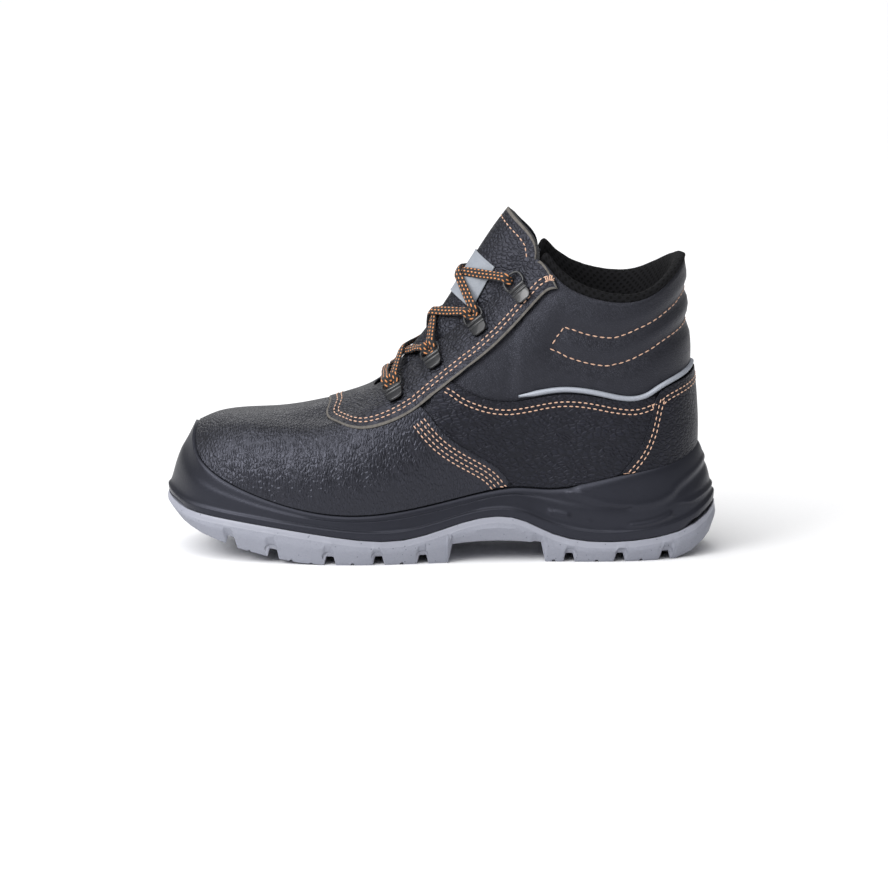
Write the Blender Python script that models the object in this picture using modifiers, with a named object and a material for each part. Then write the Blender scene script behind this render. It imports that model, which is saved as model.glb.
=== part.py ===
"""High-top safety shoe for the left foot, as closed solids.

Metres, +Z up. The toe points along -X and the outer side of the foot faces -Y.
The origin is on the floor, under the middle of the shoe's box.
Sizes in this file are millimetres, and MM turns them into metres.

The upper is one smooth surface over a last. Its meridians start on the feather line, where the
leather meets the sole, and run up to the top line, which goes round the throat and the collar.
A place on it is (around, up): around counts the stations of the tables, from 0 at the toe over the
inner side to 10 at the heel and back over the outer side to 20, and up runs from 0 to 1.
"""
import math

import bmesh
import bpy
import numpy as np
from mathutils import Matrix

MM = 0.001
OBJECT_NAME = "high_top_safety_shoe"

# Walls and clearances
UPPER_WALL = 2.4
GAP = 0.35
CUP_GAP = 0.5
OVERLAY_LIFT = 0.93
INSOLE_THICKNESS = 4.0
TONGUE_THICKNESS = 5.0
TONGUE_GAP = 0.8
VAMP_THICKNESS = 1.5
QUARTER_THICKNESS = 1.0
COUNTER_THICKNESS = 1.6
EYESTAY_THICKNESS = 2.2
PIPING_DIAMETER = 2.0
RIM_CLEAR = 0.012
SEAM_GAP = 0.014
SEAM_SHIFT = 0.04

# The last: inward swing of the toe, the deeper hollow of the inner waist, the higher inner collar
TOE_SWING = 6.0
SWING_START_X = -10.0
TOE_X = -141.0
BOX_MIDDLE_Y = 2.0246
ARCH_HOLLOW = 4.0
INNER_COLLAR_RISE = 4.0

# Half of the last's plan, from the toe to the heel: each row is a station.
FEATHER = (
    # x, half width
    (-141.0, 0.0),
    (-133.0, 22.0),
    (-112.0, 37.0),
    (-66.0, 45.5),
    (-22.0, 41.0),
    (12.0, 35.0),
    (40.0, 33.0),
    (64.0, 33.5),
    (97.0, 33.5),
    (126.0, 22.0),
    (135.0, 0.0),
)
WALL = (
    # x, half width, z
    (-145.0, 0.0, 48.0),
    (-136.0, 24.0, 48.0),
    (-114.0, 39.5, 46.0),
    (-64.0, 48.5, 41.0),
    (-20.0, 45.0, 48.0),
    (14.0, 39.0, 58.0),
    (42.0, 36.5, 66.0),
    (66.0, 36.0, 66.0),
    (98.0, 35.5, 64.0),
    (128.0, 24.0, 62.0),
    (138.0, 0.0, 62.0),
)
SHOULDER = (
    # x, half width, z
    (-128.0, 0.0, 70.6),
    (-120.0, 18.0, 69.6),
    (-101.0, 31.0, 67.5),
    (-58.0, 40.0, 66.0),
    (-14.0, 38.5, 80.0),
    (20.0, 37.5, 97.0),
    (48.0, 37.0, 107.0),
    (70.0, 36.5, 103.0),
    (98.0, 34.5, 98.0),
    (126.0, 23.0, 98.0),
    (136.0, 0.0, 98.0),
)
CROWN = (
    # x, half width, z
    (-88.0, 0.0, 75.2),
    (-82.0, 12.5, 75.0),
    (-70.0, 23.0, 72.6),
    (-42.0, 28.0, 78.6),
    (-6.0, 31.0, 99.0),
    (26.0, 33.0, 122.0),
    (52.0, 35.0, 140.0),
    (69.0, 37.0, 130.0),
    (97.0, 36.0, 121.0),
    (122.0, 25.5, 127.0),
    (133.0, 0.0, 132.0),
)
TOP_LINE = (
    # x, half width, z
    (-37.0, 0.0, 87.6),
    (-36.0, 5.5, 88.0),
    (-33.0, 10.0, 89.8),
    (-22.0, 14.0, 97.6),
    (4.0, 18.0, 118.0),
    (30.0, 23.5, 141.0),
    (52.0, 29.0, 162.5),
    (65.0, 36.0, 150.5),
    (97.0, 38.0, 140.5),
    (121.0, 27.5, 149.0),
    (132.5, 0.0, 161.5),
)
LEVEL_HEIGHTS = (0.0, 0.2, 0.45, 0.72, 1.0)
WAIST_STATIONS = {4: 0.5, 5: 1.0, 6: 0.8, 7: 0.3}
COLLAR_STATIONS = {7: 0.5, 8: 1.0, 9: 1.0}

# The top of the midsole inside the shoe, which the upper and the insole stand on
FLOOR = (
    # x, z
    (-150.0, 37.0),
    (-141.0, 34.0),
    (-112.0, 27.0),
    (-66.0, 21.0),
    (-22.0, 20.0),
    (12.0, 27.0),
    (40.0, 30.5),
    (64.0, 31.0),
    (97.0, 30.5),
    (135.0, 32.0),
    (150.0, 34.0),
)

# The sole's side, from the toe to the heel: its outline where the black midsole meets the grey
# outsole, and the heights of that line, of the ledge over it, of the rib and of the top rim
SOLE_SIDE = (
    # x, half width, parting z, ledge z, rib z, rim z
    (-149.5, 0.0, 32.0, 36.5, 56.0, 69.0),
    (-141.0, 27.0, 28.0, 32.0, 47.0, 59.0),
    (-118.0, 43.5, 24.0, 27.5, 36.0, 43.0),
    (-66.0, 52.0, 17.0, 20.5, 24.5, 28.0),
    (-22.0, 48.0, 13.5, 18.0, 25.0, 29.0),
    (12.0, 42.0, 22.5, 26.5, 32.0, 36.0),
    (40.0, 40.0, 24.5, 29.0, 37.0, 40.5),
    (64.0, 40.0, 14.5, 20.0, 32.0, 39.5),
    (99.0, 39.5, 11.5, 16.5, 27.5, 46.5),
    (136.0, 27.0, 18.0, 24.0, 35.0, 53.0),
    (149.5, 0.0, 28.0, 34.0, 47.0, 60.0),
)
RIDGE = 1.0
RIM_WIDTH = 2.6
RIM_ROUND = 1.2

# The outsole's underside: its rolling line, flat under the ball and the heel, the arch and the tread
ROCKER = (
    # x, z
    (-149.5, 24.5),
    (-141.0, 18.5),
    (-130.0, 13.5),
    (-110.0, 7.2),
    (-92.0, 3.2),
    (-76.0, 0.8),
    (-62.0, 0.0),
    (130.0, 0.0),
    (140.0, 4.2),
    (149.5, 12.0),
)
ARCH_FROM, ARCH_TO, ARCH_RISE = 3.0, 57.0, 10.5
ARCH_CROWN = 1.8
BREAST = 2.4
GROOVES = (
    # middle x
    -114.5,
    -91.5,
    -60.5,
    -34.0,
    -10.0,
    70.0,
    97.5,
    122.5,
)
GROOVE_WIDTH = 6.4
GROOVE_DEPTH = 4.8
GROOVE_SLOPE = 1.3
CHANNEL_EDGES = (0.27, 0.30, 0.35, 0.38)
CHANNEL_DEPTH = 3.6
CHANNEL_FROM, CHANNEL_TO = -124.0, 134.0
SOLE_TUCK = 2.0
SOLE_BULGE = 0.8
BELLY_SHARE = 0.45
REACH_X, REACH_Y = 150.0, 30.0

# Seams of the upper, seen from the side
VAMP_SEAM = (
    # x, z
    (37.5, 45.0),
    (18.0, 58.0),
    (2.0, 68.5),
    (-10.5, 80.5),
)
EYESTAY_EDGE = (
    # x, z, from the collar to the front
    (62.0, 149.0),
    (33.0, 122.0),
    (6.0, 100.0),
    (-16.0, 81.5),
    (-32.0, 73.0),
)
EYESTAY_FRONT = (
    # around, up, from the outer side to the middle
    (16.8, 0.51),
    (17.15, 0.63),
    (17.65, 0.745),
    (18.4, 0.83),
    (19.2, 0.87),
    (20.0, 0.88),
)
QUARTER_TOP = (
    # x, z, from the eyestay to the heel
    (5.0, 98.5),
    (11.5, 94.5),
    (20.0, 90.8),
    (35.0, 88.0),
    (52.0, 90.5),
    (67.0, 92.4),
    (84.0, 90.4),
    (99.5, 87.0),
    (111.5, 89.0),
    (123.0, 95.5),
)
QUARTER_TOP_HEEL_Z = 103.0
PIPING_START_X, PIPING_START_Z = 37.0, 88.0
PIPING_RISE = 0.012
PIPING_EVERY = 2
THROAT_TOP = 14.05
COUNTER_EDGE = (
    # x, z
    (97.0, 48.0),
    (108.0, 60.0),
    (113.0, 75.0),
    (115.5, 89.0),
)

# Tongue: the reach of each row along the throat, how far it rises over the throat's edges, and how
# far its free end is drawn up past the throat
TONGUE_ROWS = (
    # station, crown, drawn up
    (1.6, 1.0, -9.0),
    (1.6, 1.0, 0.0),
    (2.6, 6.0, 0.0),
    (3.4, 10.6, 0.0),
    (4.2, 16.6, 0.0),
    (5.0, 24.8, 0.0),
    (5.6, 28.5, 0.0),
    (5.6, 29.0, 10.0),
    (5.6, 29.0, 20.0),
)
TONGUE_RUN = (0.61, 0.0, 0.79)
TONGUE_UNDERLAP = 0.07
TONGUE_SIDE_DROP = 0.8
TONGUE_FULLNESS = 0.72

# Lacing
RING_STATIONS = (3.44, 3.94, 4.72, 5.54)
RING_FROM_EDGE = (22.5, 12.0, 8.0, 9.0)
RING_LIFT = 0.5
RING_TAB = (10.5, 9.0, 1.8)
RING_LOOP_WIDTH = 10.6
RING_LOOP_REACH = 8.0
RING_LOOP_STRAIGHT = 3.6
RING_LACE_REACH = 3.2
RING_FOOT_ROUND = 4.2
RING_WIRE = 1.1
LACE_RADIUS = 1.7
LACE_OVER_RING = 1.1
LACE_PAST_RING = 2.2
LACE_IN_LOOP = 2.5
LACE_ASIDE = 1.75
LACE_OVER_TONGUE = 2.0
LACE_SHARES = (0.32, 0.5, 0.68)

# Rows of the upper's grid: those behind the midsole's wall, then those above its rim
RIM_SHARES = (0.0, 0.25, 0.5, 0.75, 1.0)
UPPER_ROWS = 7
HALF_COUNT = 33

ROUND_STATIONS = 20
HEEL_STATION = 10
COLOURS = {
    # name: red, green, blue, roughness, metallic
    "black_leather": (0.020, 0.020, 0.024, 0.45, 0.0),
    "smooth_leather": (0.016, 0.016, 0.018, 0.5, 0.0),
    "black_rubber": (0.012, 0.012, 0.013, 0.5, 0.0),
    "grey_rubber": (0.34, 0.35, 0.40, 0.7, 0.0),
    "lining": (0.012, 0.012, 0.012, 0.95, 0.0),
    "reflective": (0.55, 0.56, 0.58, 0.4, 0.0),
    "ring": (0.010, 0.010, 0.012, 0.35, 0.0),
    "lace": (0.020, 0.016, 0.014, 0.9, 0.0),
}


def spline_weights(knots, places):
    """Rows of weights that read a natural cubic through the knots at these places."""
    knots = np.asarray(knots, float)
    places = np.atleast_1d(np.asarray(places, float))
    count = len(knots)
    step = np.diff(knots)
    bend = np.zeros((count, count))
    slope = np.zeros((count, count))
    bend[0, 0] = bend[-1, -1] = 1.0
    for i in range(1, count - 1):
        bend[i, i - 1:i + 2] = step[i - 1], 2 * (step[i - 1] + step[i]), step[i]
        slope[i, i - 1] = 6 / step[i - 1]
        slope[i, i + 1] = 6 / step[i]
        slope[i, i] = -slope[i, i - 1] - slope[i, i + 1]
    second = np.linalg.solve(bend, slope)
    at = np.clip(np.searchsorted(knots, places) - 1, 0, count - 2)
    width = step[at]
    left = (knots[at + 1] - places) / width
    right = 1 - left
    weights = np.zeros((len(places), count))
    rows = np.arange(len(places))
    weights[rows, at] += left
    weights[rows, at + 1] += right
    weights += ((left ** 3 - left) * width ** 2 / 6)[:, None] * second[at]
    weights += ((right ** 3 - right) * width ** 2 / 6)[:, None] * second[at + 1]
    return weights


def read_table(table, x):
    """Smooth heights from a table of x and z."""
    rows = np.array(table)
    return spline_weights(rows[:, 0], x) @ rows[:, 1]


def centre_line(x):
    """How far the last's middle swings to the inner side at x."""
    share = np.clip((SWING_START_X - np.asarray(x)) / (SWING_START_X - TOE_X), 0.0, 1.0)
    return TOE_SWING * share ** 2 * (3 - 2 * share) - BOX_MIDDLE_Y


def full_round(half, inner_hollow=0.0, inner_rise=0.0):
    """Both sides of a table of half a plan, in order from the toe over the inner side."""
    points = []
    for station in range(ROUND_STATIONS):
        inner = station <= HEEL_STATION
        row = station if inner else ROUND_STATIONS - station
        x, width, *heights = half[row]
        side = 1.0 if inner else -1.0
        if side > 0:
            width -= inner_hollow * WAIST_STATIONS.get(row, 0.0)
            heights = [z + inner_rise * COLLAR_STATIONS.get(row, 0.0) for z in heights]
        points.append((x, centre_line(x) + side * width, *heights))
    return np.array(points)


def round_weights(around):
    """Weights that read a closed round of stations."""
    margin = 4
    knots = np.arange(-margin, ROUND_STATIONS + margin + 1)
    weights = spline_weights(knots, np.mod(around, ROUND_STATIONS))
    folded = np.zeros((len(weights), ROUND_STATIONS))
    for column, knot in enumerate(knots):
        folded[:, knot % ROUND_STATIONS] += weights[:, column]
    return folded


def last_levels():
    """The last's five closed rounds, each of 20 points."""
    feather = full_round(FEATHER, ARCH_HOLLOW)
    stand = read_table(FLOOR, feather[:, 0]) + GAP
    return np.array([
        np.column_stack([feather, stand]),
        full_round(WALL, ARCH_HOLLOW / 2),
        full_round(SHOULDER),
        full_round(CROWN, 0.0, INNER_COLLAR_RISE / 2),
        full_round(TOP_LINE, 0.0, INNER_COLLAR_RISE),
    ])


LEVELS = last_levels()


def last_point(around, up):
    """Points of the upper's outer face, for matching arrays of places."""
    around = np.atleast_1d(np.asarray(around, float))
    up = np.broadcast_to(np.asarray(up, float), around.shape)
    across = round_weights(around)
    along = spline_weights(LEVEL_HEIGHTS, up)
    return np.einsum("pl,ps,lsk->pk", along, across, LEVELS)


def last_face(around, up, lift=0.0):
    """Points lifted off the upper's outer face, outwards where lift is positive."""
    around = np.atleast_1d(np.asarray(around, float))
    up = np.broadcast_to(np.asarray(up, float), around.shape)
    small = 0.01
    low = np.clip(up - small, 0.0, 1.0)
    high = np.clip(up + small, 0.0, 1.0)
    over = last_point(around, high) - last_point(around, low)
    beside = last_point(around + small, up) - last_point(around - small, up)
    normal = np.cross(over, beside)
    normal /= np.linalg.norm(normal, axis=1)[:, None]
    return last_point(around, up) + normal * np.asarray(lift)[..., None]


def up_at_height(around, z):
    """The places on the meridians that have these heights."""
    samples = np.linspace(0.0, 1.0, 81)
    found = []
    for place, height in zip(around, z):
        heights = last_point(np.full(len(samples), place), samples)[:, 2]
        found.append(np.interp(height, np.maximum.accumulate(heights), samples))
    return np.array(found)


def place_on_outer_side(x, z):
    """(around, up) of the point of the upper's outer side that is seen at x, z from the side."""
    around, up, reach = 15.0, 0.5, (5.0, 0.5)
    for _ in range(4):
        around_try, up_try = np.meshgrid(
            np.linspace(max(around - reach[0], 10.0), min(around + reach[0], 20.0), 61),
            np.linspace(max(up - reach[1], 0.0), min(up + reach[1], 1.0), 61),
        )
        around_try, up_try = around_try.ravel(), up_try.ravel()
        points = last_point(around_try, up_try)
        nearest = np.argmin((points[:, 0] - x) ** 2 + (points[:, 2] - z) ** 2)
        around, up = around_try[nearest], up_try[nearest]
        reach = (reach[0] / 8, reach[1] / 8)
    return around, up


def smooth_edge(places, count=25):
    """An edge drawn smoothly through a few places."""
    places = np.array(places)
    knots = np.arange(len(places))
    return spline_weights(knots, np.linspace(0, len(places) - 1, count)) @ places


def mirrored(edge, middle):
    """The same edge on the other side of the toe (20) or the heel (10), in reverse order."""
    edge = np.array(edge)[::-1].copy()
    edge[:, 0] = 2 * middle - edge[:, 0]
    return edge


def up_below_edge(around, distance):
    """The place on a meridian that lies this far below the top line."""
    samples = np.linspace(1.0, 0.5, 61)
    points = last_point(np.full(len(samples), around), samples)
    travel = np.concatenate([[0.0], np.cumsum(np.linalg.norm(np.diff(points, axis=0), axis=1))])
    return float(np.interp(distance, travel, samples))


HALF_STATIONS = np.linspace(0.0, HEEL_STATION, HALF_COUNT)
ROUND = np.concatenate([HALF_STATIONS, ROUND_STATIONS - HALF_STATIONS[-2:0:-1]])


def sole_round():
    """The sole's side at every station: x, y, and its four heights."""
    return round_weights(ROUND) @ full_round(SOLE_SIDE)


def tread_round():
    """The sole's side again, with further points at the walls of the tread's grooves."""
    wanted = [ARCH_FROM, ARCH_FROM + BREAST, ARCH_TO - BREAST, ARCH_TO]
    for middle in GROOVES:
        for side in (-1, 1):
            wanted.append(middle + side * GROOVE_WIDTH / 2)
            wanted.append(middle + side * (GROOVE_WIDTH / 2 - GROOVE_SLOPE))
    side = sole_round()
    stations = list(np.interp(wanted, side[:HALF_COUNT, 0], HALF_STATIONS))
    for other in HALF_STATIONS:
        if min(abs(other - station) for station in stations) > 0.01:
            stations.append(other)
    half = np.array(sorted(stations))
    around = np.concatenate([half, ROUND_STATIONS - half[-2:0:-1]])
    closed = np.vstack([side, side[:1]])
    places = np.append(ROUND, ROUND_STATIONS)
    return np.column_stack([np.interp(around, places, column) for column in closed.T])


def new_material(name):
    red, green, blue, roughness, metallic = COLOURS[name]
    material = bpy.data.materials.new(name)
    material.use_nodes = True
    shader = material.node_tree.nodes["Principled BSDF"]
    shader.inputs["Base Color"].default_value = (red, green, blue, 1.0)
    shader.inputs["Roughness"].default_value = roughness
    shader.inputs["Metallic"].default_value = metallic
    return material


def add_object(name, build, material, collection):
    """An object in the scene from a bmesh in millimetres."""
    bmesh.ops.scale(build, vec=(MM, MM, MM), verts=build.verts)
    bmesh.ops.recalc_face_normals(build, faces=build.faces)
    mesh = bpy.data.meshes.new(name)
    build.to_mesh(mesh)
    build.free()
    mesh.materials.append(material)
    mesh.shade_smooth()
    mesh.set_sharp_from_angle(angle=math.radians(40))
    made = bpy.data.objects.new(name, mesh)
    collection.objects.link(made)
    return made


def loft(rings, closed=True):
    """Faces between rings of equal length, each joined to the next."""
    build = bmesh.new()
    rows = [[build.verts.new(point) for point in ring] for ring in rings]
    count = len(rows[0])
    for low, high in zip(rows, rows[1:]):
        for i in range(count if closed else count - 1):
            after = (i + 1) % count
            build.faces.new((low[i], low[after], high[after], high[i]))
    return build, rows


def close_across(build, ring, columns=None):
    """Closes a ring of the sole's stations with strips from the inner to the outer side.

    columns holds, for each strip, the points between the two sides.
    """
    half = len(ring) // 2 + 1
    strips = []
    for i in range(half):
        inner, outer = ring[i], ring[-i % len(ring)]
        between = columns[i] if columns is not None and 0 < i < half - 1 else []
        strips.append([inner] + [build.verts.new(point) for point in between] + [outer])
    for before, after in zip(strips, strips[1:]):
        if before[0] is before[-1]:
            fan, tip = after, before[0]
        elif after[0] is after[-1]:
            fan, tip = before, after[0]
        else:
            for a, b, c, d in zip(before, before[1:], after[1:], after):
                build.faces.new((a, b, c, d))
            continue
        for a, b in zip(fan, fan[1:]):
            build.faces.new((tip, a, b))


def patch(bottom, top, left, right, across, along):
    """Places inside four edges in (around, up), blended from the edges."""
    def even(edge, count):
        edge = np.array(edge)
        steps = np.linalg.norm(np.diff(edge, axis=0) * (1.0, 6.0), axis=1)
        travel = np.concatenate([[0.0], np.cumsum(steps)])
        places = np.linspace(0.0, travel[-1], count)
        return np.column_stack([np.interp(places, travel, edge[:, k]) for k in (0, 1)])

    bottom, top = even(bottom, across), even(top, across)
    left, right = even(left, along), even(right, along)
    u = np.linspace(0.0, 1.0, across)[None, :, None]
    v = np.linspace(0.0, 1.0, along)[:, None, None]
    sides = (1 - u) * left[:, None] + u * right[:, None]
    ends = (1 - v) * bottom[None] + v * top[None]
    corners = (1 - v) * ((1 - u) * bottom[0] + u * bottom[-1]) + v * ((1 - u) * top[0] + u * top[-1])
    return sides + ends - corners


def overlay(name, places, thickness, material, collection):
    """A sheet of leather over part of the upper, between two lifts of its outer face."""
    lift = OVERLAY_LIFT
    rows, columns = places.shape[:2]
    around, up = places[..., 0].ravel(), np.clip(places[..., 1].ravel(), 0.0, 1.0)
    outside = last_face(around, up, np.full(around.shape, lift + thickness)).reshape(rows, columns, 3)
    inside = last_face(around, up, np.full(around.shape, lift)).reshape(rows, columns, 3)
    build = bmesh.new()
    outer = [[build.verts.new(point) for point in row] for row in outside]
    inner = [[build.verts.new(point) for point in row] for row in inside]
    for r in range(rows - 1):
        for c in range(columns - 1):
            build.faces.new((outer[r][c], outer[r][c + 1], outer[r + 1][c + 1], outer[r + 1][c]))
            build.faces.new((inner[r][c], inner[r + 1][c], inner[r + 1][c + 1], inner[r][c + 1]))
    rim = [(0, c) for c in range(columns)] + [(r, columns - 1) for r in range(1, rows)]
    rim += [(rows - 1, c) for c in range(columns - 2, -1, -1)] + [(r, 0) for r in range(rows - 2, 0, -1)]
    for (r, c), (s, d) in zip(rim, rim[1:] + rim[:1]):
        build.faces.new((outer[r][c], inner[r][c], inner[s][d], outer[s][d]))
    return add_object(name, build, material, collection)


def make_upper(material, collection):
    """The leather wall, open below, at the throat and at the collar."""
    rim = rim_places()
    rings = [last_face(ROUND, rim * share) for share in RIM_SHARES]
    for share in np.linspace(0.0, 1.0, UPPER_ROWS)[1:]:
        rings.append(last_face(ROUND, rim + (1 - rim) * share))
    build, _ = loft(rings)
    made = add_object("upper", build, material, collection)
    wall = made.modifiers.new("wall", "SOLIDIFY")
    wall.thickness = UPPER_WALL * MM
    wall.offset = -1.0
    wall.use_even_offset = False
    return made


def rim_places():
    """How far up the upper the midsole's rim reaches at each station."""
    return up_at_height(ROUND, sole_round()[:, 5])


def make_midsole(material, collection):
    """The black cup of the sole, with its ledge, rib and rim, the toe bumper and the heel cup."""
    side = sole_round()
    parting, ledge, rib = side[:, 2], side[:, 3], side[:, 4]
    rim = rim_places()
    rim_inner = last_face(ROUND, rim, np.full(len(ROUND), CUP_GAP))
    below_rim = np.maximum(rim - RIM_CLEAR, 0.0)
    rim_outer = last_face(ROUND, below_rim, np.full(len(ROUND), CUP_GAP + RIM_WIDTH))
    base = np.column_stack([side[:, :2], parting])
    outward = base - rim_outer
    outward[:, 2] = 0.0
    outward /= np.maximum(np.linalg.norm(outward, axis=1), 0.1)[:, None]

    def on_side(height, ridge):
        share = np.clip((height - parting) / (rim_outer[:, 2] - parting), 0.0, 1.0)
        lean = share ** 1.5
        ring = base * (1 - lean)[:, None] + rim_outer * lean[:, None]
        ring[:, 2] = height
        return ring + outward * ridge

    rings = [
        base,
        on_side(ledge - 0.8, RIDGE),
        on_side(ledge, RIDGE),
        on_side(ledge + 0.9, -RIDGE / 2),
        on_side((ledge + rib) / 2, 0.0),
        on_side(rib, RIDGE / 2),
        on_side(rib + 0.25 * (rim_outer[:, 2] - rib), -RIDGE / 2),
        rim_outer,
        last_face(ROUND, rim, np.full(len(ROUND), CUP_GAP + RIM_ROUND)),
        rim_inner,
    ]
    for share in RIM_SHARES[-2::-1]:
        rings.append(last_face(ROUND, rim * share, np.full(len(ROUND), CUP_GAP)))
    floor_edge = rings[-1].copy()
    floor_edge[:, 2] = read_table(FLOOR, floor_edge[:, 0])
    rings[-1] = floor_edge
    build, rows = loft(rings)
    close_across(build, rows[0])
    close_across(build, rows[-1])
    return add_object("midsole", build, material, collection)


def rolling_line(x):
    """The underside's height at x, before the tread is cut."""
    rows = np.array(ROCKER)
    flat = int(np.argmin(rows[:, 1]))
    toe, heel = rows[:flat + 1], rows[flat + 1:]
    return np.where(x < 0.0, np.interp(x, *toe.T), np.interp(x, *heel.T))


def tread_depth(x):
    """How far the underside is cut back at x by the grooves and the arch."""
    depth = np.zeros_like(x)
    for middle in GROOVES:
        slope = (GROOVE_WIDTH / 2 - np.abs(x - middle)) / GROOVE_SLOPE
        depth = np.maximum(depth, GROOVE_DEPTH * np.clip(slope, 0.0, 1.0))
    arch_middle, arch_half = (ARCH_FROM + ARCH_TO) / 2, (ARCH_TO - ARCH_FROM) / 2
    inside = np.clip((arch_half - np.abs(x - arch_middle)) / BREAST, 0.0, 1.0)
    crown = ARCH_CROWN * np.clip(1 - ((x - arch_middle) / arch_half) ** 2, 0.0, 1.0)
    return np.maximum(depth, inside * (ARCH_RISE + crown))


def make_outsole(material, collection):
    """The grey sole, with toe spring, arch, heel breast, grooves and channels."""
    side = tread_round()
    top = np.column_stack([side[:, :2], side[:, 2] - GAP])
    middle = centre_line(side[:, 0])
    below = rolling_line(side[:, 0])
    cut = tread_depth(side[:, 0])
    inward = np.column_stack([-side[:, 0] / REACH_X, (middle - side[:, 1]) / REACH_Y])
    inward = np.clip(inward, -1.0, 1.0)

    def ring_at(height, tuck):
        ring = top.copy()
        ring[:, :2] += inward * tuck
        ring[:, 2] = height
        return ring

    belly = top[:, 2] - BELLY_SHARE * (top[:, 2] - below - cut)
    rings = [top, ring_at(belly, -SOLE_BULGE), ring_at(below + cut, SOLE_TUCK)]
    build, rows = loft(rings)
    close_across(build, rows[0])
    bottom = rings[-1]
    half = len(bottom) // 2 + 1
    shares = list(CHANNEL_EDGES) + [1 - share for share in reversed(CHANNEL_EDGES)]
    columns = []
    for i in range(half):
        inner, outer = bottom[i], bottom[-i % len(bottom)]
        strip = []
        for share in shares:
            point = inner * (1 - share) + outer * share
            edge = min(share, 1 - share)
            if CHANNEL_EDGES[0] < edge < CHANNEL_EDGES[3] and CHANNEL_FROM < point[0] < CHANNEL_TO:
                point[2] = max(point[2], float(rolling_line(point[0])) + CHANNEL_DEPTH)
            strip.append(point)
        columns.append(strip)
    close_across(build, rows[-1], columns)
    return add_object("outsole", build, material, collection)


def make_insole(material, collection):
    """The footbed inside the upper's lower edge."""
    inset = UPPER_WALL + 3 * GAP
    foot = last_face(ROUND, 0.0, np.full(len(ROUND), -inset))
    low, high = foot.copy(), last_face(ROUND, 0.05, np.full(len(ROUND), -inset - GAP))
    low[:, 2] = read_table(FLOOR, low[:, 0]) + GAP
    high[:, 2] = read_table(FLOOR, high[:, 0]) + GAP + INSOLE_THICKNESS
    build, rows = loft([low, high])
    close_across(build, rows[0])
    close_across(build, rows[-1])
    return add_object("insole", build, material, collection)


def tongue_section(station, crown, drawn, count=13):
    """One row of the tongue's front face, from the inner to the outer side."""
    under = UPPER_WALL + TONGUE_GAP
    ends = []
    for around in (station, ROUND_STATIONS - station):
        places = np.full(3, around)
        ups = 1.0 - TONGUE_UNDERLAP * np.array([1.0, 0.5, 0.0])
        ends.append(last_face(places, ups, np.full(3, -under)))
    inner, outer = ends[0], ends[1][::-1]
    run = np.array(TONGUE_RUN)
    forward = np.array((-run[2], 0.0, run[0]))
    middle = (inner[-1] + outer[0]) / 2 + forward * crown
    bulge = forward * crown * (TONGUE_FULLNESS - 0.5)
    points = np.vstack([
        inner, (inner[-1] + middle) / 2 + bulge, middle, (outer[0] + middle) / 2 + bulge, outer,
    ])
    travel = np.concatenate([[0.0], np.cumsum(np.linalg.norm(np.diff(points, axis=0), axis=1))])
    places = np.linspace(0.0, travel[-1], count)
    section = spline_weights(travel, places) @ points
    aside = np.abs(np.linspace(-1.0, 1.0, count)) ** 2
    return section + run * (drawn * (1 - TONGUE_SIDE_DROP * aside))[:, None]


def make_tongue(material, collection):
    """The padded tongue behind the throat, drawn up past the collar."""
    front = [tongue_section(*row) for row in TONGUE_ROWS]
    build, _ = loft(front, closed=False)
    made = add_object("tongue", build, material, collection)
    wall = made.modifiers.new("padding", "SOLIDIFY")
    wall.thickness = TONGUE_THICKNESS * MM
    wall.offset = -1.0
    wall.use_even_offset = False
    return made


def rim_up(around):
    """Where the overlays' lower edges lie, just over the midsole's rim."""
    heights = (round_weights(around) @ full_round(SOLE_SIDE))[:, 5]
    return up_at_height(around, heights) + RIM_CLEAR


def outer_edges():
    """The seams of the outer side, as edges in (around, up)."""
    vamp = smooth_edge([place_on_outer_side(x, z) for x, z in VAMP_SEAM], 9)
    eyestay = smooth_edge(
        [place_on_outer_side(x, z) for x, z in EYESTAY_EDGE] + list(EYESTAY_FRONT), 41
    )
    top = smooth_edge(
        [place_on_outer_side(x, z) for x, z in QUARTER_TOP] + [(10.0, quarter_top_at_heel())], 67
    )
    counter = smooth_edge([place_on_outer_side(x, z) for x, z in COUNTER_EDGE], 7)
    return vamp, eyestay, top, counter


def quarter_top_at_heel():
    return up_at_height([10.0], [QUARTER_TOP_HEEL_Z])[0]


def shifted(edge, around=0.0, up=0.0):
    return np.array(edge) + (around, up)


def along_rim(first, last, count):
    around = np.linspace(first, last, count)
    return np.column_stack([around, rim_up(around)])


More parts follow.
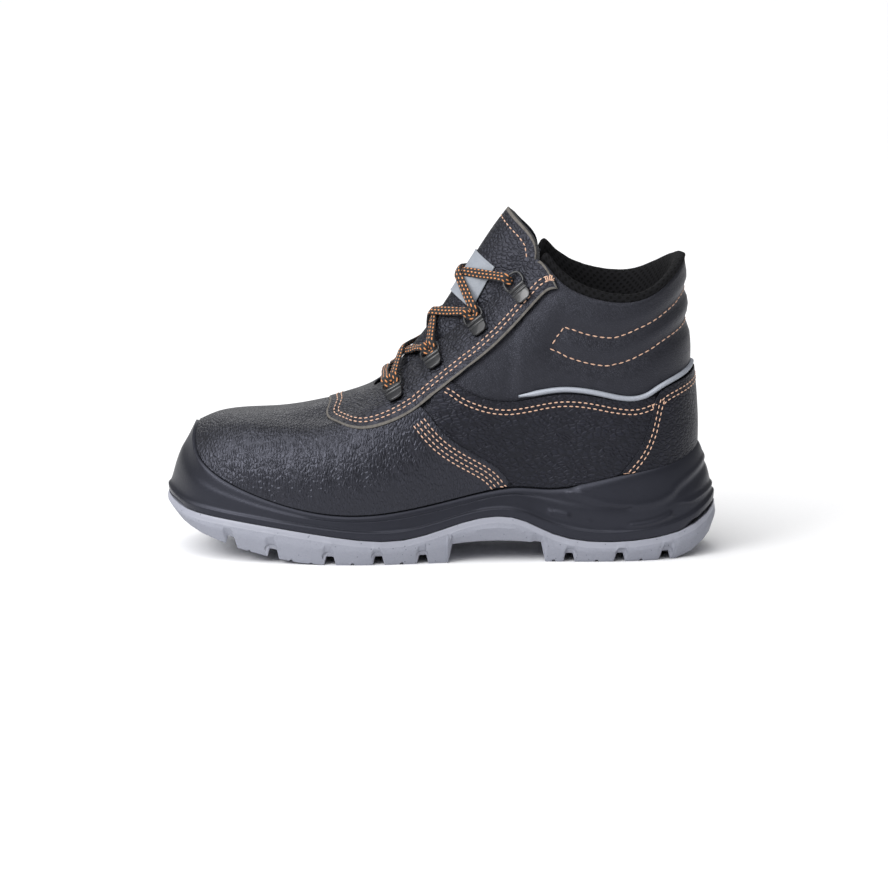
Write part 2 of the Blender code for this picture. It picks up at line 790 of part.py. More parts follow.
def make_overlays(leather, collection):
    """Vamp, quarters, counter and eyestay, each cut from the upper's own function."""
    vamp, eyestay, top, counter = outer_edges()
    seam_foot, seam_head = vamp[0, 0], vamp[-1, 0]
    front = eyestay[eyestay[:, 0] > seam_head]
    behind = eyestay[(eyestay[:, 0] <= seam_head) & (eyestay[:, 0] > top[0, 0])][::-1]

    seam = np.vstack([[seam_foot, rim_up(np.array([seam_foot]))[0]], vamp[1:]])
    vamp_top = shifted(front, up=-SEAM_GAP)
    seam[-1] = vamp_top[0]
    vamp_top = np.vstack([vamp_top[:-1], mirrored(vamp_top, 20.0)])
    overlay(
        "vamp",
        patch(along_rim(seam_foot, 40.0 - seam_foot, 61), vamp_top, seam, mirrored(seam, 20.0)[::-1], 29, 8),
        VAMP_THICKNESS, leather, collection,
    )

    counter_foot = counter[0, 0]
    counter_side = np.vstack([[counter_foot, rim_up(np.array([counter_foot]))[0]], counter[1:]])
    counter_top = shifted(top[top[:, 0] < counter[-1, 0]], up=-SEAM_GAP)
    counter_side[-1] = counter_top[0]
    counter_top = np.vstack([counter_top[:-1], mirrored(counter_top, 10.0)])
    overlay(
        "counter",
        patch(
            along_rim(counter_foot, 20.0 - counter_foot, 31), counter_top,
            counter_side, mirrored(counter_side, 10.0)[::-1], 15, 5,
        ),
        COUNTER_THICKNESS, leather, collection,
    )

    quarter_front = shifted(seam, around=-SEAM_SHIFT)
    quarter_rear = shifted(counter_side, around=SEAM_SHIFT)
    quarter_top = np.vstack([
        shifted(behind, around=-SEAM_SHIFT, up=-SEAM_GAP),
        shifted(top[top[:, 0] > quarter_rear[-1, 0]], up=-SEAM_GAP),
    ])
    quarter_front[-1] = quarter_top[0]
    quarter_rear[-1] = quarter_top[-1]
    places = patch(
        along_rim(quarter_front[0, 0], quarter_rear[0, 0], 25), quarter_top,
        quarter_front, quarter_rear, 15, 6,
    )
    overlay("quarter_outer", places, QUARTER_THICKNESS, leather, collection)
    other = places.copy()
    other[..., 0] = 20.0 - other[..., 0]
    overlay("quarter_inner", other, QUARTER_THICKNESS, leather, collection)

    low = np.vstack([eyestay[:-1], mirrored(eyestay, 20.0)])
    high = np.column_stack([np.linspace(THROAT_TOP, 40.0 - THROAT_TOP, 61), np.ones(61)])
    end = np.array([low[0], high[0]])
    overlay(
        "eyestay", patch(low, high, end, mirrored(end, 20.0)[::-1], 37, 6),
        EYESTAY_THICKNESS, leather, collection,
    )


def tube(name, points, radius, closed=False, sides=1):
    """A mesh object of a round cord through points in millimetres."""
    curve = bpy.data.curves.new(name, "CURVE")
    curve.dimensions = "3D"
    curve.bevel_depth = radius * MM
    curve.bevel_resolution = sides
    curve.use_fill_caps = True
    spline = curve.splines.new("POLY")
    spline.points.add(len(points) - 1)
    for place, point in zip(spline.points, points):
        place.co = (*(np.asarray(point) * MM), 1.0)
    spline.use_cyclic_u = closed
    guide = bpy.data.objects.new(name + "_curve", curve)
    bpy.context.scene.collection.objects.link(guide)
    bpy.context.view_layer.update()
    graph = bpy.context.evaluated_depsgraph_get()
    mesh = bpy.data.meshes.new_from_object(guide.evaluated_get(graph))
    mesh.name = name
    bpy.data.objects.remove(guide, do_unlink=True)
    bpy.data.curves.remove(curve)
    build = bmesh.new()
    build.from_mesh(mesh)
    bmesh.ops.remove_doubles(build, verts=build.verts, dist=0.00001)
    bmesh.ops.recalc_face_normals(build, faces=build.faces)
    build.to_mesh(mesh)
    build.free()
    return bpy.data.objects.new(name, mesh)


def joined(name, pieces, material, collection):
    """One mesh from several that overlap, by Boolean union."""
    base = pieces[0]
    bpy.context.scene.collection.objects.link(base)
    for other in pieces[1:]:
        bpy.context.scene.collection.objects.link(other)
        union = base.modifiers.new(other.name, "BOOLEAN")
        union.operation = "UNION"
        union.solver = "EXACT"
        union.object = other
    bpy.context.view_layer.update()
    graph = bpy.context.evaluated_depsgraph_get()
    mesh = bpy.data.meshes.new_from_object(base.evaluated_get(graph))
    for piece in pieces:
        bpy.data.objects.remove(piece, do_unlink=True)
    mesh.name = name
    mesh.materials.clear()
    mesh.materials.append(material)
    mesh.shade_smooth()
    mesh.set_sharp_from_angle(angle=math.radians(40))
    made = bpy.data.objects.new(name, mesh)
    if collection is not None:
        collection.objects.link(made)
    return made


def make_piping(material, collection):
    """The reflective cord along the quarters' upper edge."""
    top = outer_edges()[2][::PIPING_EVERY]
    top = top[top[:, 0] < place_on_outer_side(PIPING_START_X, PIPING_START_Z)[0]]
    edge = np.vstack([top[:-1], mirrored(top, 10.0)])
    radius = PIPING_DIAMETER / 2
    lift = np.full(len(edge), GAP + radius)
    points = last_face(edge[:, 0], edge[:, 1] + PIPING_RISE, lift)
    made = tube("piping", points, radius, sides=0)
    made.data.materials.append(material)
    collection.objects.link(made)


def ring_frame(number, outer):
    """The seat of a lace ring: a matrix with x along the throat, y to its edge and z outwards."""
    station = RING_STATIONS[number]
    around = ROUND_STATIONS - station if outer else station
    up = up_below_edge(around, RING_FROM_EDGE[number])
    lift = OVERLAY_LIFT + EYESTAY_THICKNESS + RING_LIFT
    seat = last_face([around], [up], [lift])[0]
    out = last_face([around], [up], [lift + 1.0])[0] - seat
    inwards = last_face([around], [up + 0.02], [lift])[0] - seat
    before, after = last_face([around - 0.2, around + 0.2], [1.0, 1.0], [lift, lift])
    edge = np.cross(out, after - before)
    edge *= np.sign(edge.dot(inwards)) / np.linalg.norm(edge)
    beside = np.cross(edge, out)
    return np.column_stack([beside, edge, out]), seat


def ring_solid(material):
    """A plate with a round foot and a wire loop, at its own origin."""
    width, reach, thick = RING_TAB
    foot = width / 2
    foot_middle = RING_FOOT_ROUND - reach
    outline = [(-foot, 0.0), (foot, 0.0), (foot, foot_middle)]
    for angle in (-45, -90, -135):
        turn = math.radians(angle)
        outline.append((foot * math.cos(turn), foot_middle + RING_FOOT_ROUND * math.sin(turn)))
    outline.append((-foot, foot_middle))
    build = bmesh.new()
    face = build.faces.new([build.verts.new((x * MM, y * MM, 0.0)) for x, y in outline])
    lifted = bmesh.ops.extrude_face_region(build, geom=[face])
    top = [item for item in lifted["geom"] if isinstance(item, bmesh.types.BMVert)]
    bmesh.ops.translate(build, verts=top, vec=(0.0, 0.0, thick * MM))
    bmesh.ops.recalc_face_normals(build, faces=build.faces)
    mesh = bpy.data.meshes.new("ring_plate")
    build.to_mesh(mesh)
    build.free()
    plate = bpy.data.objects.new("ring_plate", mesh)
    half = RING_LOOP_WIDTH / 2
    bow = RING_LOOP_REACH - RING_LOOP_STRAIGHT
    loop = [(half, -RING_WIRE, RING_WIRE), (half, RING_LOOP_STRAIGHT, RING_WIRE)]
    for angle in (36, 72, 108, 144):
        turn = math.radians(angle)
        loop.append((half * math.cos(turn), RING_LOOP_STRAIGHT + bow * math.sin(turn), RING_WIRE))
    loop += [(-half, RING_LOOP_STRAIGHT, RING_WIRE), (-half, -RING_WIRE, RING_WIRE)]
    wire = tube("ring_wire", loop, RING_WIRE, closed=True)
    return joined("lace_ring", [plate, wire], material, None)


def make_rings(material, collection):
    """Four lace rings on each side of the throat."""
    pattern = ring_solid(material)
    for outer, side in ((True, "outer"), (False, "inner")):
        for number in range(len(RING_STATIONS)):
            axes, seat = ring_frame(number, outer)
            made = bpy.data.objects.new(f"ring_{side}_{number + 1}", pattern.data)
            place = Matrix([[*axes[row], seat[row] * MM] for row in range(3)] + [[0.0, 0.0, 0.0, 1.0]])
            made.matrix_world = place
            collection.objects.link(made)
    bpy.data.objects.remove(pattern, do_unlink=True)


def lace_at_ring(number, outer, strand):
    """A place in a ring's loop and one over its wire, shifted along the throat by the strand."""
    axes, seat = ring_frame(number, outer)
    beside, edge, out = axes.T
    # the inner side's x axis runs the other way along the throat
    aside = beside * strand * (1 if outer else -1)
    in_loop = seat + edge * RING_LACE_REACH + out * LACE_IN_LOOP + aside
    over = RING_WIRE * 2 + LACE_RADIUS + LACE_OVER_RING
    over_wire = seat + edge * (RING_LOOP_REACH + LACE_PAST_RING) + out * over + aside
    return in_loop, over_wire


def tongue_crown(station):
    rows = np.array([row for row in TONGUE_ROWS if row[2] == 0.0])
    return float(np.interp(station, rows[:, 0], rows[:, 1]))


def lace_over_tongue(first, last, outer_first):
    """Places of a strand across the tongue, from one side's station to the other's."""
    count = 41
    points = []
    for share in LACE_SHARES:
        station = first + (last - first) * share
        section = tongue_section(station, tongue_crown(station), 0.0, count)
        at = round((1 - share if outer_first else share) * (count - 1))
        out = np.cross(section[at + 1] - section[at - 1], TONGUE_RUN)
        out /= np.linalg.norm(out)
        points.append(section[at] + out * (LACE_RADIUS + LACE_OVER_TONGUE))
    return points


def lace_route(outer_first):
    """One strand from its lowest ring, from side to side, to the top ring."""
    route = []
    outer = outer_first
    for number in range(len(RING_STATIONS) - 1):
        inside, over = lace_at_ring(number, outer, LACE_ASIDE)
        if number == 0:
            route.append(inside)
        route.append(over)
        route += lace_over_tongue(RING_STATIONS[number], RING_STATIONS[number + 1], outer)
        outer = not outer
        inside, over = lace_at_ring(number + 1, outer, -LACE_ASIDE)
        route.append(over)
        route.append(inside)
        if number < len(RING_STATIONS) - 2:
            route.append(lace_at_ring(number + 1, outer, LACE_ASIDE)[0])
    return route


def make_lace(material, collection):
    """The crossed lace: two strands joined where they cross, and the bar between the lowest rings."""
    bar = [lace_at_ring(0, True, LACE_ASIDE)[0], lace_at_ring(0, True, 0.0)[1]]
    bar += lace_over_tongue(RING_STATIONS[0], RING_STATIONS[0], True)
    bar += [lace_at_ring(0, False, 0.0)[1], lace_at_ring(0, False, LACE_ASIDE)[0]]
    pieces = [
        tube("strand_outer", lace_route(True), LACE_RADIUS),
        tube("strand_inner", lace_route(False), LACE_RADIUS),
        tube("lowest_bar", bar, LACE_RADIUS),
    ]
    joined("lace", pieces, material, collection)


def start_clean():
    for old in list(bpy.data.objects):
        bpy.data.objects.remove(old, do_unlink=True)


def main():
    start_clean()
    parts = bpy.data.collections.new(OBJECT_NAME)
    bpy.context.scene.collection.children.link(parts)
    finish = {name: new_material(name) for name in COLOURS}
    make_outsole(finish["grey_rubber"], parts)
    make_midsole(finish["black_rubber"], parts)
    make_insole(finish["lining"], parts)
    make_upper(finish["smooth_leather"], parts)
    make_tongue(finish["black_leather"], parts)
    make_overlays(finish["black_leather"], parts)
    make_piping(finish["reflective"], parts)
    make_rings(finish["ring"], parts)
    make_lace(finish["lace"], parts)


main()
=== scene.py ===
# %% [markdown]
# # A high-top safety shoe for the left foot
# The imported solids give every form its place. This lesson copies them, rounds and creases the copies into
# leather, foam and rubber, and adds what is too fine for a solid: seams, stitches, mesh lining and braid.

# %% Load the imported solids
import math
from collections import Counter, defaultdict
from contextlib import contextmanager

import bpy
import numpy as np
from mathutils import Matrix, Vector
from mathutils.bvhtree import BVHTree
from mathutils.kdtree import KDTree


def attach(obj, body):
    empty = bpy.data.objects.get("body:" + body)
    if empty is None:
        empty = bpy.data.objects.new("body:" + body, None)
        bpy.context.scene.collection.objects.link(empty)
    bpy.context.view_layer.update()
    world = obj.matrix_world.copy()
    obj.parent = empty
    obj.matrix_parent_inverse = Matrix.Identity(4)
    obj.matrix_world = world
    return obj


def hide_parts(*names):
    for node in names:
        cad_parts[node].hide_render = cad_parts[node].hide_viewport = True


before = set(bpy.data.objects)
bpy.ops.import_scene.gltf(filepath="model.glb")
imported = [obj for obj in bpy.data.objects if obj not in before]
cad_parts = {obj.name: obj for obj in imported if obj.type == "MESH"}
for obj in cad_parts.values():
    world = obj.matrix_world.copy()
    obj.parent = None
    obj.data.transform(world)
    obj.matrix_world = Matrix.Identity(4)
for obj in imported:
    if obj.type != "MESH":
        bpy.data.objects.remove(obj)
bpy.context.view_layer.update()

MM = 0.001
print("solids:", len(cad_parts))

# %% [markdown]
# The camera looks level along the shoe's outer side, from ten degrees above the floor and through a long
# lens. It comes first, so that every later piece can be held against the photograph.

# %% Set up the camera
AIM = Vector((1.6, 0, 57.4)) * MM
CAMERA_RISE = math.radians(10)
CAMERA_DISTANCE = 2200 * MM
SEEN_WIDTH = 486 * MM  # at the middle of the shoe
towards_camera = Vector((0, -math.cos(CAMERA_RISE), math.sin(CAMERA_RISE)))
bpy.ops.object.camera_add(
    location=AIM + CAMERA_DISTANCE * towards_camera,
    rotation=(math.pi / 2 - CAMERA_RISE, 0, 0),
)
camera = bpy.context.object
camera.data.sensor_width = 36
camera.data.lens = camera.data.sensor_width * CAMERA_DISTANCE / SEEN_WIDTH
bpy.context.scene.camera = camera
print("lens:", round(camera.data.lens, 1), "mm")

# %% [markdown]
# Black leather is drawn by what it mirrors. A very wide sun from the front left lights the paper floor evenly
# to white, one panel near the toe draws the soft highlight down the vamp, and one behind draws the edges.

# %% Light the studio
bpy.context.scene.view_settings.view_transform = "Standard"
LIGHTS = (
    # name, kind, place, size in metres or width in radians, strength
    ("sun", "SUN", Vector((-0.45, -0.5, 1)), math.radians(75), 3.1),
    ("toe_panel", "AREA", Vector((-0.85, -0.95, 0.75)), 0.55, 7.5),
    ("edge_panel", "AREA", Vector((-0.3, 1.4, 1.0)), 1.0, 4),
)
for name, kind, place, size, strength in LIGHTS:
    bpy.ops.object.light_add(type=kind, location=place)
    light = bpy.context.object
    light.name = name
    setattr(light.data, "angle" if kind == "SUN" else "size", size)
    light.data.energy = strength
    towards = -place if kind == "SUN" else AIM - place
    light.rotation_euler = towards.to_track_quat("-Z", "Y").to_euler()
print("lights:", len(LIGHTS))

# %% [markdown]
# These helpers write every finish below. The first turns an sRGB colour into the linear values that shaders
# use, and the second adds a shader node with its settings and links. The others are short names for the nodes
# that most finishes share: a noise, a blend of two colours, a range, a sum and a bump.

# %% Helpers for materials


def linear(colour):
    """An sRGB hex colour as linear red, green, blue and full opacity."""
    parts = [int(colour[i : i + 2], 16) / 255 for i in (1, 3, 5)]
    return [c / 12.92 if c <= 0.04045 else ((c + 0.055) / 1.055) ** 2.4 for c in parts] + [1.0]


def add_node(tree, kind, inputs=None, output=0, **settings):
    """Adds a node with its settings; each input takes a value or another node's output. Gives one output."""
    node = tree.nodes.new("ShaderNode" + kind)
    for name, value in settings.items():
        setattr(node, name, value)
    for socket, value in (inputs or {}).items():
        if isinstance(value, bpy.types.NodeSocket):
            tree.links.new(value, node.inputs[socket])
        else:
            node.inputs[socket].default_value = value
    return node.outputs[output]


def noise(tree, size, place=None, **settings):
    """A noise with lumps of this many millimetres, in the object's own space unless a place is given."""
    if place is None:
        place = add_node(tree, "TexCoord", output="Object")
    return add_node(tree, "TexNoise", {"Vector": place, "Scale": 1 / (size * MM), **settings})


def blend(tree, share, first, second):
    """A mix of two colours, each an sRGB hex colour or an output."""
    first, second = (linear(c) if isinstance(c, str) else c for c in (first, second))
    return add_node(tree, "Mix", {0: share, 6: first, 7: second}, 2, data_type="RGBA")


def ranged(tree, value, low, high):
    """A value from 0 to 1 carried to the range from low to high."""
    return add_node(tree, "MapRange", {"Value": value, "To Min": low, "To Max": high})


def calculate(tree, operation, *values):
    return add_node(tree, "Math", dict(enumerate(values)), operation=operation)


def relief(tree, height, depth, **settings):
    """A bump of this many millimetres."""
    return add_node(tree, "Bump", {"Distance": depth * MM, "Height": height}, **settings)


def new_finish(name, constants):
    """A material, its node tree and its shader, with the constants set on the shader's own sockets."""
    material = bpy.data.materials.new(name)
    material.use_nodes = True
    shader = material.node_tree.nodes["Principled BSDF"]
    for socket, value in constants.items():
        shader.inputs[socket].default_value = value
    return material, material.node_tree, shader


def feed(shader, **outputs):
    """Links outputs to the shader's sockets, whose names have spaces in place of underscores."""
    for socket, output in outputs.items():
        shader.id_data.links.new(output, shader.inputs[socket.replace("_", " ")])


def speckled(name, constants, size, colours, depth=0, gloss=None, **grain):
    """A finish whose colour, and bump and shine if they are given, follow one noise."""
    material, tree, shader = new_finish(name, constants)
    speck = noise(tree, size, **grain)
    feed(shader, Base_Color=blend(tree, speck, *colours))
    if depth:
        feed(shader, Normal=relief(tree, speck, depth))
    if gloss:
        feed(shader, Roughness=ranged(tree, speck, *gloss))
    return material


# %% [markdown]
# The floor is pale, plain paper and the room round it is white, so that nothing competes with the shoe.

# %% Lay the floor
PAPER = {"Roughness": 0.9, "Specular IOR Level": 0.1}
white_paper = speckled("white studio paper", PAPER, 3, ("#f4f4f5", "#f8f8f9"))
bpy.ops.mesh.primitive_plane_add(size=12)
floor = bpy.context.object
floor.name = "floor"
floor.data.materials.append(white_paper)

world = bpy.data.worlds.new("white room")
bpy.context.scene.world = world
world.use_nodes = True
background = world.node_tree.nodes["Background"]
background.inputs["Color"].default_value = linear("#ffffff")
background.inputs["Strength"].default_value = 0.3
print("floor laid")

# %% [markdown]
# The panels are full-grain cowhide, dyed black and tumbled so that its grain stands up in small pebbles. A
# cell pattern measured to its edges gives domes with narrow creases between them. The cells are bent by a
# slow noise, because hide is never regular, and stretched along the way that the panel wrinkles.

# %% Make the leathers
BLUE_REFLECTION_TINT = linear("#e6e9ff")  # painted reflection: a blue tint on every reflection, standing in for bluish light round the shoe


def cowhide(name, colour, pebble, depth, stretch, roughness, gloss):
    """Black cowhide with pebbles of this many millimetres; stretch lengthens them along x, y and z."""
    constants = {"IOR": 1.5, "Specular IOR Level": gloss, "Specular Tint": BLUE_REFLECTION_TINT}
    material, tree, shader = new_finish(name, constants)
    place = add_node(tree, "TexCoord", output="Object")
    waves = {"Vector": place, "Scale": 1 / (6 * pebble * MM), "Detail": 1.0}
    slow = add_node(tree, "TexNoise", waves, "Color")
    bend = {0: slow, 1: [1.6 * pebble * MM] * 3, 2: place}
    bent = add_node(tree, "VectorMath", bend, operation="MULTIPLY_ADD")
    laid = add_node(tree, "Mapping", {"Vector": bent, "Scale": [1 / s for s in stretch]})
    cells = {"Vector": laid, "Scale": 1 / (pebble * MM)}
    edge = add_node(tree, "TexVoronoi", cells, feature="DISTANCE_TO_EDGE")
    dome = add_node(tree, "MapRange", {"Value": edge, "From Max": 0.3}, interpolation_type="SMOOTHSTEP")
    folds = noise(tree, 5.5 * pebble, laid, Detail=3.0, Distortion=0.6)
    pores = noise(tree, 0.8)
    grain = calculate(tree, "MULTIPLY_ADD", folds, 2.4, dome)
    height = calculate(tree, "MULTIPLY_ADD", pores, 0.5, grain)
    # painted shade: the colour darkens to near black in the creases between the pebbles and in the troughs of
    # the folds, the low places of the bump
    crease_shade = calculate(tree, "MULTIPLY", dome, folds)
    feed(
        shader,
        Base_Color=blend(tree, crease_shade, "#0b0b0d", colour),
        Roughness=ranged(tree, pores, roughness - 0.08, roughness + 0.1),
        Normal=relief(tree, height, depth),
    )
    return material


vamp_leather = cowhide("vamp cowhide, fine pebble", "#191a20", 1.5, 0.2, (1, 1.9, 2.3), 0.36, 0.54)
panel_leather = cowhide("quarter cowhide, pebbled", "#1a1b23", 2.0, 0.24, (1.7, 1, 1), 0.42, 0.34)
eyestay_leather = cowhide("eyestay cowhide, coarse pebble", "#1e1f26", 2.2, 0.26, (1.3, 1, 1), 0.40, 0.42)
collar_leather = cowhide("collar nappa, smooth", "#222328", 1.1, 0.09, (1, 1, 1), 0.42, 0.52)
print("leathers:", vamp_leather.name, panel_leather.name, collar_leather.name)

# %% [markdown]
# Where hide is cut, its undyed fibres show as a pale line along the edge of a panel.

# %% Make the cut edge
FIBRES = "#302e2d", "#78736d"
cut_edge = speckled("cut leather edge", {"Roughness": 0.85}, 1.2, FIBRES, 0.15, Detail=3.0)
print("cut edge made")

# %% [markdown]
# The midsole is black polyurethane foam moulded straight onto the upper. Its mould was sand-blasted, which
# leaves a fine satin grit. The grit is drawn at 1.1 mm, coarser than the real one, so that it shows. The
# outsole's grey rubber is smooth along its top, and sanded and pitted below.

# %% Make the foam and the rubber
foam, tree, shader = new_finish(
    "moulded polyurethane foam", {"IOR": 1.48, "Specular IOR Level": 0.45, "Specular Tint": BLUE_REFLECTION_TINT}
)
grit = noise(tree, 1.1, Detail=3.0, Roughness=0.6)
feed(
    shader,
    Base_Color=blend(tree, noise(tree, 22), "#131419", "#1d1e24"),
    Roughness=ranged(tree, grit, 0.3, 0.52),
    Normal=relief(tree, grit, 0.06),
)

BAND = "below_top"  # how far down its own wall a point of the outsole lies, from 0 to 1
rubber, tree, shader = new_finish("grey nitrile rubber", {"IOR": 1.52})
place = add_node(tree, "TexCoord", output="Object")
speck = noise(tree, 1.3, place, Detail=4.0, Roughness=0.75)
hole = add_node(tree, "TexVoronoi", {"Vector": place, "Scale": 1 / (3.2 * MM)})
down = add_node(tree, "Attribute", output="Fac", attribute_name=BAND)
sanded = add_node(tree, "MapRange", {"Value": down, "From Min": 0.19, "From Max": 0.24})
rough = calculate(tree, "MULTIPLY", speck, sanded)
# painted shade: where this mask marks the pits, the colour below turns a darker grey, the shade inside them;
# the bump also sinks them
pitted = add_node(tree, "MapRange", {"Value": hole, "From Min": 0.07, "From Max": 0.12})
grey = blend(tree, rough, "#91939e", "#7e818c")
feed(
    shader,
    Base_Color=blend(tree, pitted, "#5f626c", grey),
    Roughness=ranged(tree, sanded, 0.42, 0.72),
    Normal=relief(tree, calculate(tree, "MULTIPLY_ADD", pitted, 0.4, rough), 0.3),
)
print("sole materials:", foam.name, rubber.name)

# %% [markdown]
# The next helpers do what hands do at the workbench: pick up one object, apply a modifier, copy a solid, and
# read or move its points all at once.

# %% Helpers for pieces


def only(piece):
    """Selects one object and makes it active."""
    bpy.ops.object.select_all(action="DESELECT")
    piece.select_set(True)
    bpy.context.view_layer.objects.active = piece


@contextmanager
def editing(piece, selects=None):
    """Opens a piece in edit mode, to select points, edges or faces if that is given."""
    only(piece)
    if selects:
        kinds = ("POINTS", "EDGES", "FACES")
        bpy.context.tool_settings.mesh_select_mode = [kind == selects for kind in kinds]
    bpy.ops.object.mode_set(mode="EDIT")
    yield
    bpy.ops.object.mode_set(mode="OBJECT")


def add_piece(name, mesh):
    """A new object that shows a mesh."""
    piece = bpy.data.objects.new(name, mesh)
    bpy.context.scene.collection.objects.link(piece)
    return piece


def joined(pieces):
    """Joins pieces into the first of them."""
    only(pieces[0])
    for piece in pieces[1:]:
        piece.select_set(True)
    bpy.ops.object.join()
    return pieces[0]


def face_outwards(piece):
    """Turns every face of a closed piece outwards and shades it smooth."""
    with editing(piece):
        bpy.ops.mesh.select_all(action="SELECT")
        bpy.ops.mesh.normals_make_consistent(inside=False)
        bpy.ops.mesh.faces_shade_smooth()


def finish_with(piece, kind, **settings):
    """Adds a modifier, sets it and applies it at once."""
    only(piece)
    modifier = piece.modifiers.new(kind.lower(), kind)
    for name, value in settings.items():
        setattr(modifier, name, value)
    bpy.ops.object.modifier_apply(modifier=modifier.name)


def subdivide(piece, levels, **settings):
    finish_with(piece, "SUBSURF", levels=levels, render_levels=levels, **settings)


def round_edges(piece, width, segments, angle):
    """Bevels the edges that turn by more than an angle in degrees."""
    limit = math.radians(angle)
    finish_with(piece, "BEVEL", width=width, segments=segments, limit_method="ANGLE", angle_limit=limit)


def copy_of(node, name, slot, *finishes):
    """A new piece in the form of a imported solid: its loose triangles are merged and paired into quads."""
    piece = add_piece(name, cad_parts[node].data.copy())
    piece.data.materials.clear()
    for finish in finishes:
        piece.data.materials.append(finish)
    only(piece)
    bpy.ops.mesh.customdata_custom_splitnormals_clear()
    flat, square = math.radians(60), math.radians(70)
    with editing(piece):
        bpy.ops.mesh.select_all(action="SELECT")
        bpy.ops.mesh.remove_doubles(threshold=0.01 * MM)
        bpy.ops.mesh.tris_convert_to_quads(face_threshold=flat, shape_threshold=square)
        bpy.ops.mesh.faces_shade_smooth()
    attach(piece, "root")
    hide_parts(node)
    return piece


def points_of(piece, what="co"):
    """The places of a piece's points, or their normals, as rows of x, y and z in metres."""
    rows = np.empty(len(piece.data.vertices) * 3)
    piece.data.vertices.foreach_get(what, rows)
    return rows.reshape(-1, 3)


def move_points(piece, points):
    piece.data.vertices.foreach_set("co", points.ravel())
    piece.data.update()


def surface_of(piece):
    """A search tree of a piece's faces, for rays and nearest points."""
    faces = [face.vertices for face in piece.data.polygons]
    return BVHTree.FromPolygons([vertex.co for vertex in piece.data.vertices], faces)


def tree_of_points(points):
    """A search tree of loose points."""
    tree = KDTree(len(points))
    for number, point in enumerate(points):
        tree.insert(point, number)
    tree.balance()
    return tree


def crease_and_smooth(piece, angle, levels):
    """Keeps edges sharper than an angle and rounds the rest."""
    with editing(piece):
        bpy.ops.mesh.select_all(action="DESELECT")
        bpy.ops.mesh.edges_select_sharp(sharpness=math.radians(angle))
        bpy.ops.transform.edge_crease(value=1)
    subdivide(piece, levels)


upper_solid = surface_of(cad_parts["upper"])
print("helpers ready")

# %% [markdown]
# The upper's panels are cut hides sewn one over the next. Each starts as a copy of its solid. Its outer sheet
# is found by growing from the face that looks most away from the foot, its edge is spread by a millimetre or
# two so that it overlaps its neighbour, and the sheet's edge is bevelled before it is rounded.

# %% Helpers for leather panels
SHARP = math.radians(50)
EDGE_ROUND = 0.35 * MM
CORNER = math.radians(50)
CORNER_REACH = 3.2 * MM
BY_TONGUE = 9 * MM  # edges this near to the tongue are turned under and show no fibres
tongue_solid = surface_of(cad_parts["tongue"])


def deselect(piece):
    """Unselects a piece's points, edges and faces."""
    for part in (piece.data.vertices, piece.data.edges, piece.data.polygons):
        part.foreach_set("select", [False] * len(part))


def sheet_faces(piece, outer, sharp=SHARP):
    """The numbers of the faces on a panel's outer or inner side, as far as its next sharp edge."""

    def facing(face):
        near = upper_solid.find_nearest(face.center)[0]
        return face.normal.dot((face.center - near).normalized()) * (1 if outer else -1)

    start = max(piece.data.polygons, key=facing).index
    deselect(piece)
    piece.data.polygons[start].select = True
    with editing(piece, "FACES"):
        bpy.ops.mesh.faces_select_linked_flat(sharpness=sharp)
    return [face.index for face in piece.data.polygons if face.select]


def rim_edges(piece, sheet):
    """The edges round a sheet of faces, each as its two point numbers and the face it belongs to."""
    uses = Counter(key for i in sheet for key in piece.data.polygons[i].edge_keys)
    return [(key, i) for i in sheet for key in piece.data.polygons[i].edge_keys if uses[key] == 1]


def spread(piece, sheet, reach):
    """Moves a sheet's edge outwards along its own surface."""
    places = piece.data.vertices
    push = defaultdict(Vector)
    for key, i in rim_edges(piece, sheet):
        a, b = (places[v].co for v in key)
        along = (b - a).normalized()
        away = (a + b) / 2 - piece.data.polygons[i].center
        away = (away - along * away.dot(along)).normalized()
        for v in key:
            push[v] = push[v] + away
    for v, away in push.items():
        places[v].co += away.normalized() * reach


def rim_loop(piece, sheet):
    """The places round a sheet's edge, in order."""
    beside = defaultdict(list)
    for (a, b), _ in rim_edges(piece, sheet):
        beside[a].append(b)
        beside[b].append(a)
    loop = [min(beside)]
    for _ in beside:
        onward = [v for v in beside[loop[-1]] if v not in loop[-2:-1]]
        if len(loop) > 1 and loop[0] in onward:
            return np.array([piece.data.vertices[v].co for v in loop])
        loop.append(onward[0])
    raise ValueError(f"the edge of {piece.name} is not one loop")


def round_rim(piece, sheet, width, shown):
    """Bevels the edge of a piece's outer sheet; where it is shown, the bevel is the pale cut edge."""
    rim = {key for key, _ in rim_edges(piece, sheet)}
    deselect(piece)
    for edge in piece.data.edges:
        edge.select = edge.key in rim
    with editing(piece, "EDGES"):
        bpy.ops.mesh.bevel(offset=width, segments=2, affect="EDGES", clamp_overlap=True, material=int(shown))


def keep_corners(piece, loop):
    """Creases the points at the corners of a panel, so that smoothing leaves them sharp."""
    ahead, behind = np.roll(loop, -1, axis=0) - loop, loop - np.roll(loop, 1, axis=0)
    turn = (ahead * behind).sum(axis=1) / np.linalg.norm(ahead, axis=1) / np.linalg.norm(behind, axis=1)
    corners = tree_of_points(loop[turn < math.cos(CORNER)])
    crease = piece.data.attributes.new("crease_vert", "FLOAT", "POINT")
    for vertex in piece.data.vertices:
        crease.data[vertex.index].value = 1.0 if corners.find(vertex.co)[2] < CORNER_REACH else 0.0


def panel(node, leather, reach, shown):
    """A leather panel dressed from its solid, and the places round its outer edge."""
    piece = copy_of(node, node + "_leather", "grained_leather", leather, cut_edge)
    outer, inner = sheet_faces(piece, True), sheet_faces(piece, False)
    spread(piece, outer, reach)
    spread(piece, inner, reach)
    loop = rim_loop(piece, outer)
    round_rim(piece, outer, EDGE_ROUND, shown)
    for face in piece.data.polygons:
        if tongue_solid.find_nearest(face.center)[3] < BY_TONGUE:
            face.material_index = 0
    keep_corners(piece, loop)
    subdivide(piece, 3)
    print(piece.name, len(piece.data.polygons), "faces")
    return piece, loop


